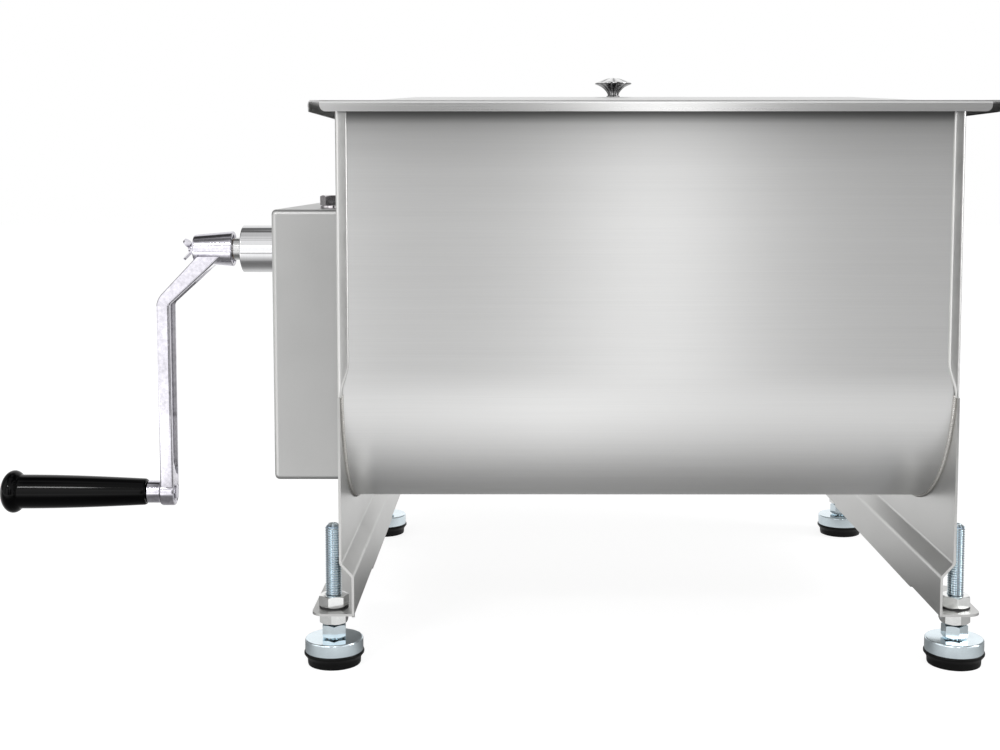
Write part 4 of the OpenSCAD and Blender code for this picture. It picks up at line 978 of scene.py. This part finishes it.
def makeWelds():
    # a row of flat beads stands for the ripples of the weld round each bowl's end
    size = {"radius": 93.5, "x": 182.35, "step": 1.25, "across": 1.35, "out": 1.15, "along": 0.95,
            "start": 189.5, "lean": 0.25}
    end = 360 - degrees(acos(spans["shaftY"] / size["radius"]))
    count = round(radians(end - size["start"]) * size["radius"] / size["step"])
    for side, name in ((-1, "left"), (1, "right")):
        bead, spots = bmesh.new(), []
        bmesh.ops.create_uvsphere(bead, u_segments=6, v_segments=5, radius=1.0)
        flat = Matrix.Diagonal((size["across"], size["out"], size["along"], 1))
        bmesh.ops.transform(bead, matrix=Matrix.Rotation(size["lean"], 4, "X") @ flat, verts=bead.verts)
        for k in range(count + 1):
            for s in (-1, 1):
                a = radians(size["start"] + (end - size["start"]) * k / count)
                a = a if s < 0 else pi - a
                y, z = size["radius"] * cos(a), size["radius"] * sin(a)
                spots.append(((side * size["x"], s * spans["shaftY"] + y, levels["axis"] + z), (a, 0, 0)))
        repeated(bead, spots, name + "_bowl_weld", "weld_bead", "root", (), 80)


# levelling feet: threaded stud with a hexagon and a ball, pressed cup and rubber pad

def makeFoot(foot, sx, sy):
    size = {"hexFlats": 14.0, "hexLow": 16.9, "hexHigh": 24.9, "hexTurn": (6, 20), "neck": 2.6, "ballZ": 12.6,
            "ball": 5.0, "ballCut": 3.6, "socket": 5.16, "core": 4.3, "radius": 5.0, "pitch": 1.5, "top": 86.9,
            "cup": 17.75, "cupLow": 7.5, "cupHigh": 16.2, "pad": 16.15, "lip": 18.35}
    spot = (sx * feet["x"], sy * feet["y"], 0)
    bm, low, high, top, core = bmesh.new(), size["hexLow"], size["hexHigh"], size["top"], size["core"]
    hexBody(bm, size["hexFlats"], low, high, turn=radians(size["hexTurn"][sy > 0]))
    profile = [(0, high - 1), (core, high - 1), (core, high + 0.2), (core, top - 1.6), (core - 1.5, top),
               (2.0, top), (1.3, top - 0.7), (0, top - 1.0)]
    lathe(bm, profile, "z", segments=40)
    ballZ, neck = size["ballZ"], size["neck"]
    profile = [(0, ballZ - 3.55)] + [(size["ball"] * cos(a), ballZ + size["ball"] * sin(a))
                                     for a in map(radians, range(-44, 49, 8))]
    profile += [(neck, ballZ + size["ballCut"]), (neck, low + 1), (0, low + 1)]
    lathe(bm, profile, "z", segments=40)
    # painted shade in the roots of the thread, on the core between the ridges
    markPaintedShade(bm, lambda vert: 1.0 if high < vert.co.z < top - 1 and abs(vert.co.xy.length - core) < 0.02
               else 0.0)
    thread = {"pitch": size["pitch"], "length": top - high - 1.9, "radius": size["radius"], "low": high + 0.2}
    threaded(bm, thread, foot + "_stud_threaded", "zinc_steel", foot, [foot + "_stud"], 40, spot)
    bm, r, low, high = bmesh.new(), size["cup"], size["cupLow"], size["cupHigh"]
    socket = [(size["socket"] * cos(a), ballZ + size["socket"] * sin(a))
              for a in map(radians, range(40, -36, -6))]
    profile = [(r - 0.4, low), (r, low + 0.4), (r, high - 1.1), (r - 0.15, high - 0.55),
               (r - 0.55, high - 0.15), (r - 1.1, high), (7.4, high),
               (socket[0][0] + 0.5, high)] + socket + [(4.2, 9.5), (4.2, low)]
    lathe(bm, profile, "z", spot, 72, closed=True)
    finishPiece(bm, foot + "_cup_pressed", "zinc_steel", foot + "_base", [foot + "_cup"])
    bm, p, lip, seat = bmesh.new(), size["pad"], size["lip"], r + 0.03
    profile = [(0, 0), (p - 0.8, 0), (p - 0.2, 0.25), (p, 0.9), (p + 0.15, 3.6), (p + 0.6, 4.7),
               (lip - 0.5, 6.1), (lip - 0.05, 6.7), (lip, 7.4), (lip - 0.1, 8.0), (lip - 0.35, 8.3),
               (seat, 8.25), (seat, low), (0, low)]
    lathe(bm, profile, "z", spot, 72)
    finishPiece(bm, foot + "_pad_moulded", "foot_rubber", foot + "_base", [foot + "_pad"], 40)


shaftHoles = {"left": 14.02, "right": 11.0}
makeTank()
makeEndPlate(-1, "left_end_plate_sheet", shaftHoles["left"])
makeEndPlate(1, "right_end_plate_sheet", shaftHoles["right"])
print("tank and end plates are built")
makeGearCase()
makeCollar()
makeCrankArm()
makeSpindle()
makeGrip()
print("gear case, crank and grip are built")
makeWingScrew()
makeCaseBolts()
makeBearingCups()
makeWelds()
print("wing screw, bolts, cups and welds are built")
makeLid()
makeKnob()
print("lid and knob are built")
for corner, (sx, sy) in footSides.items():
    makeFoot(corner + "_foot", sx, sy)
makeFootNuts()
print("levelling feet are built")
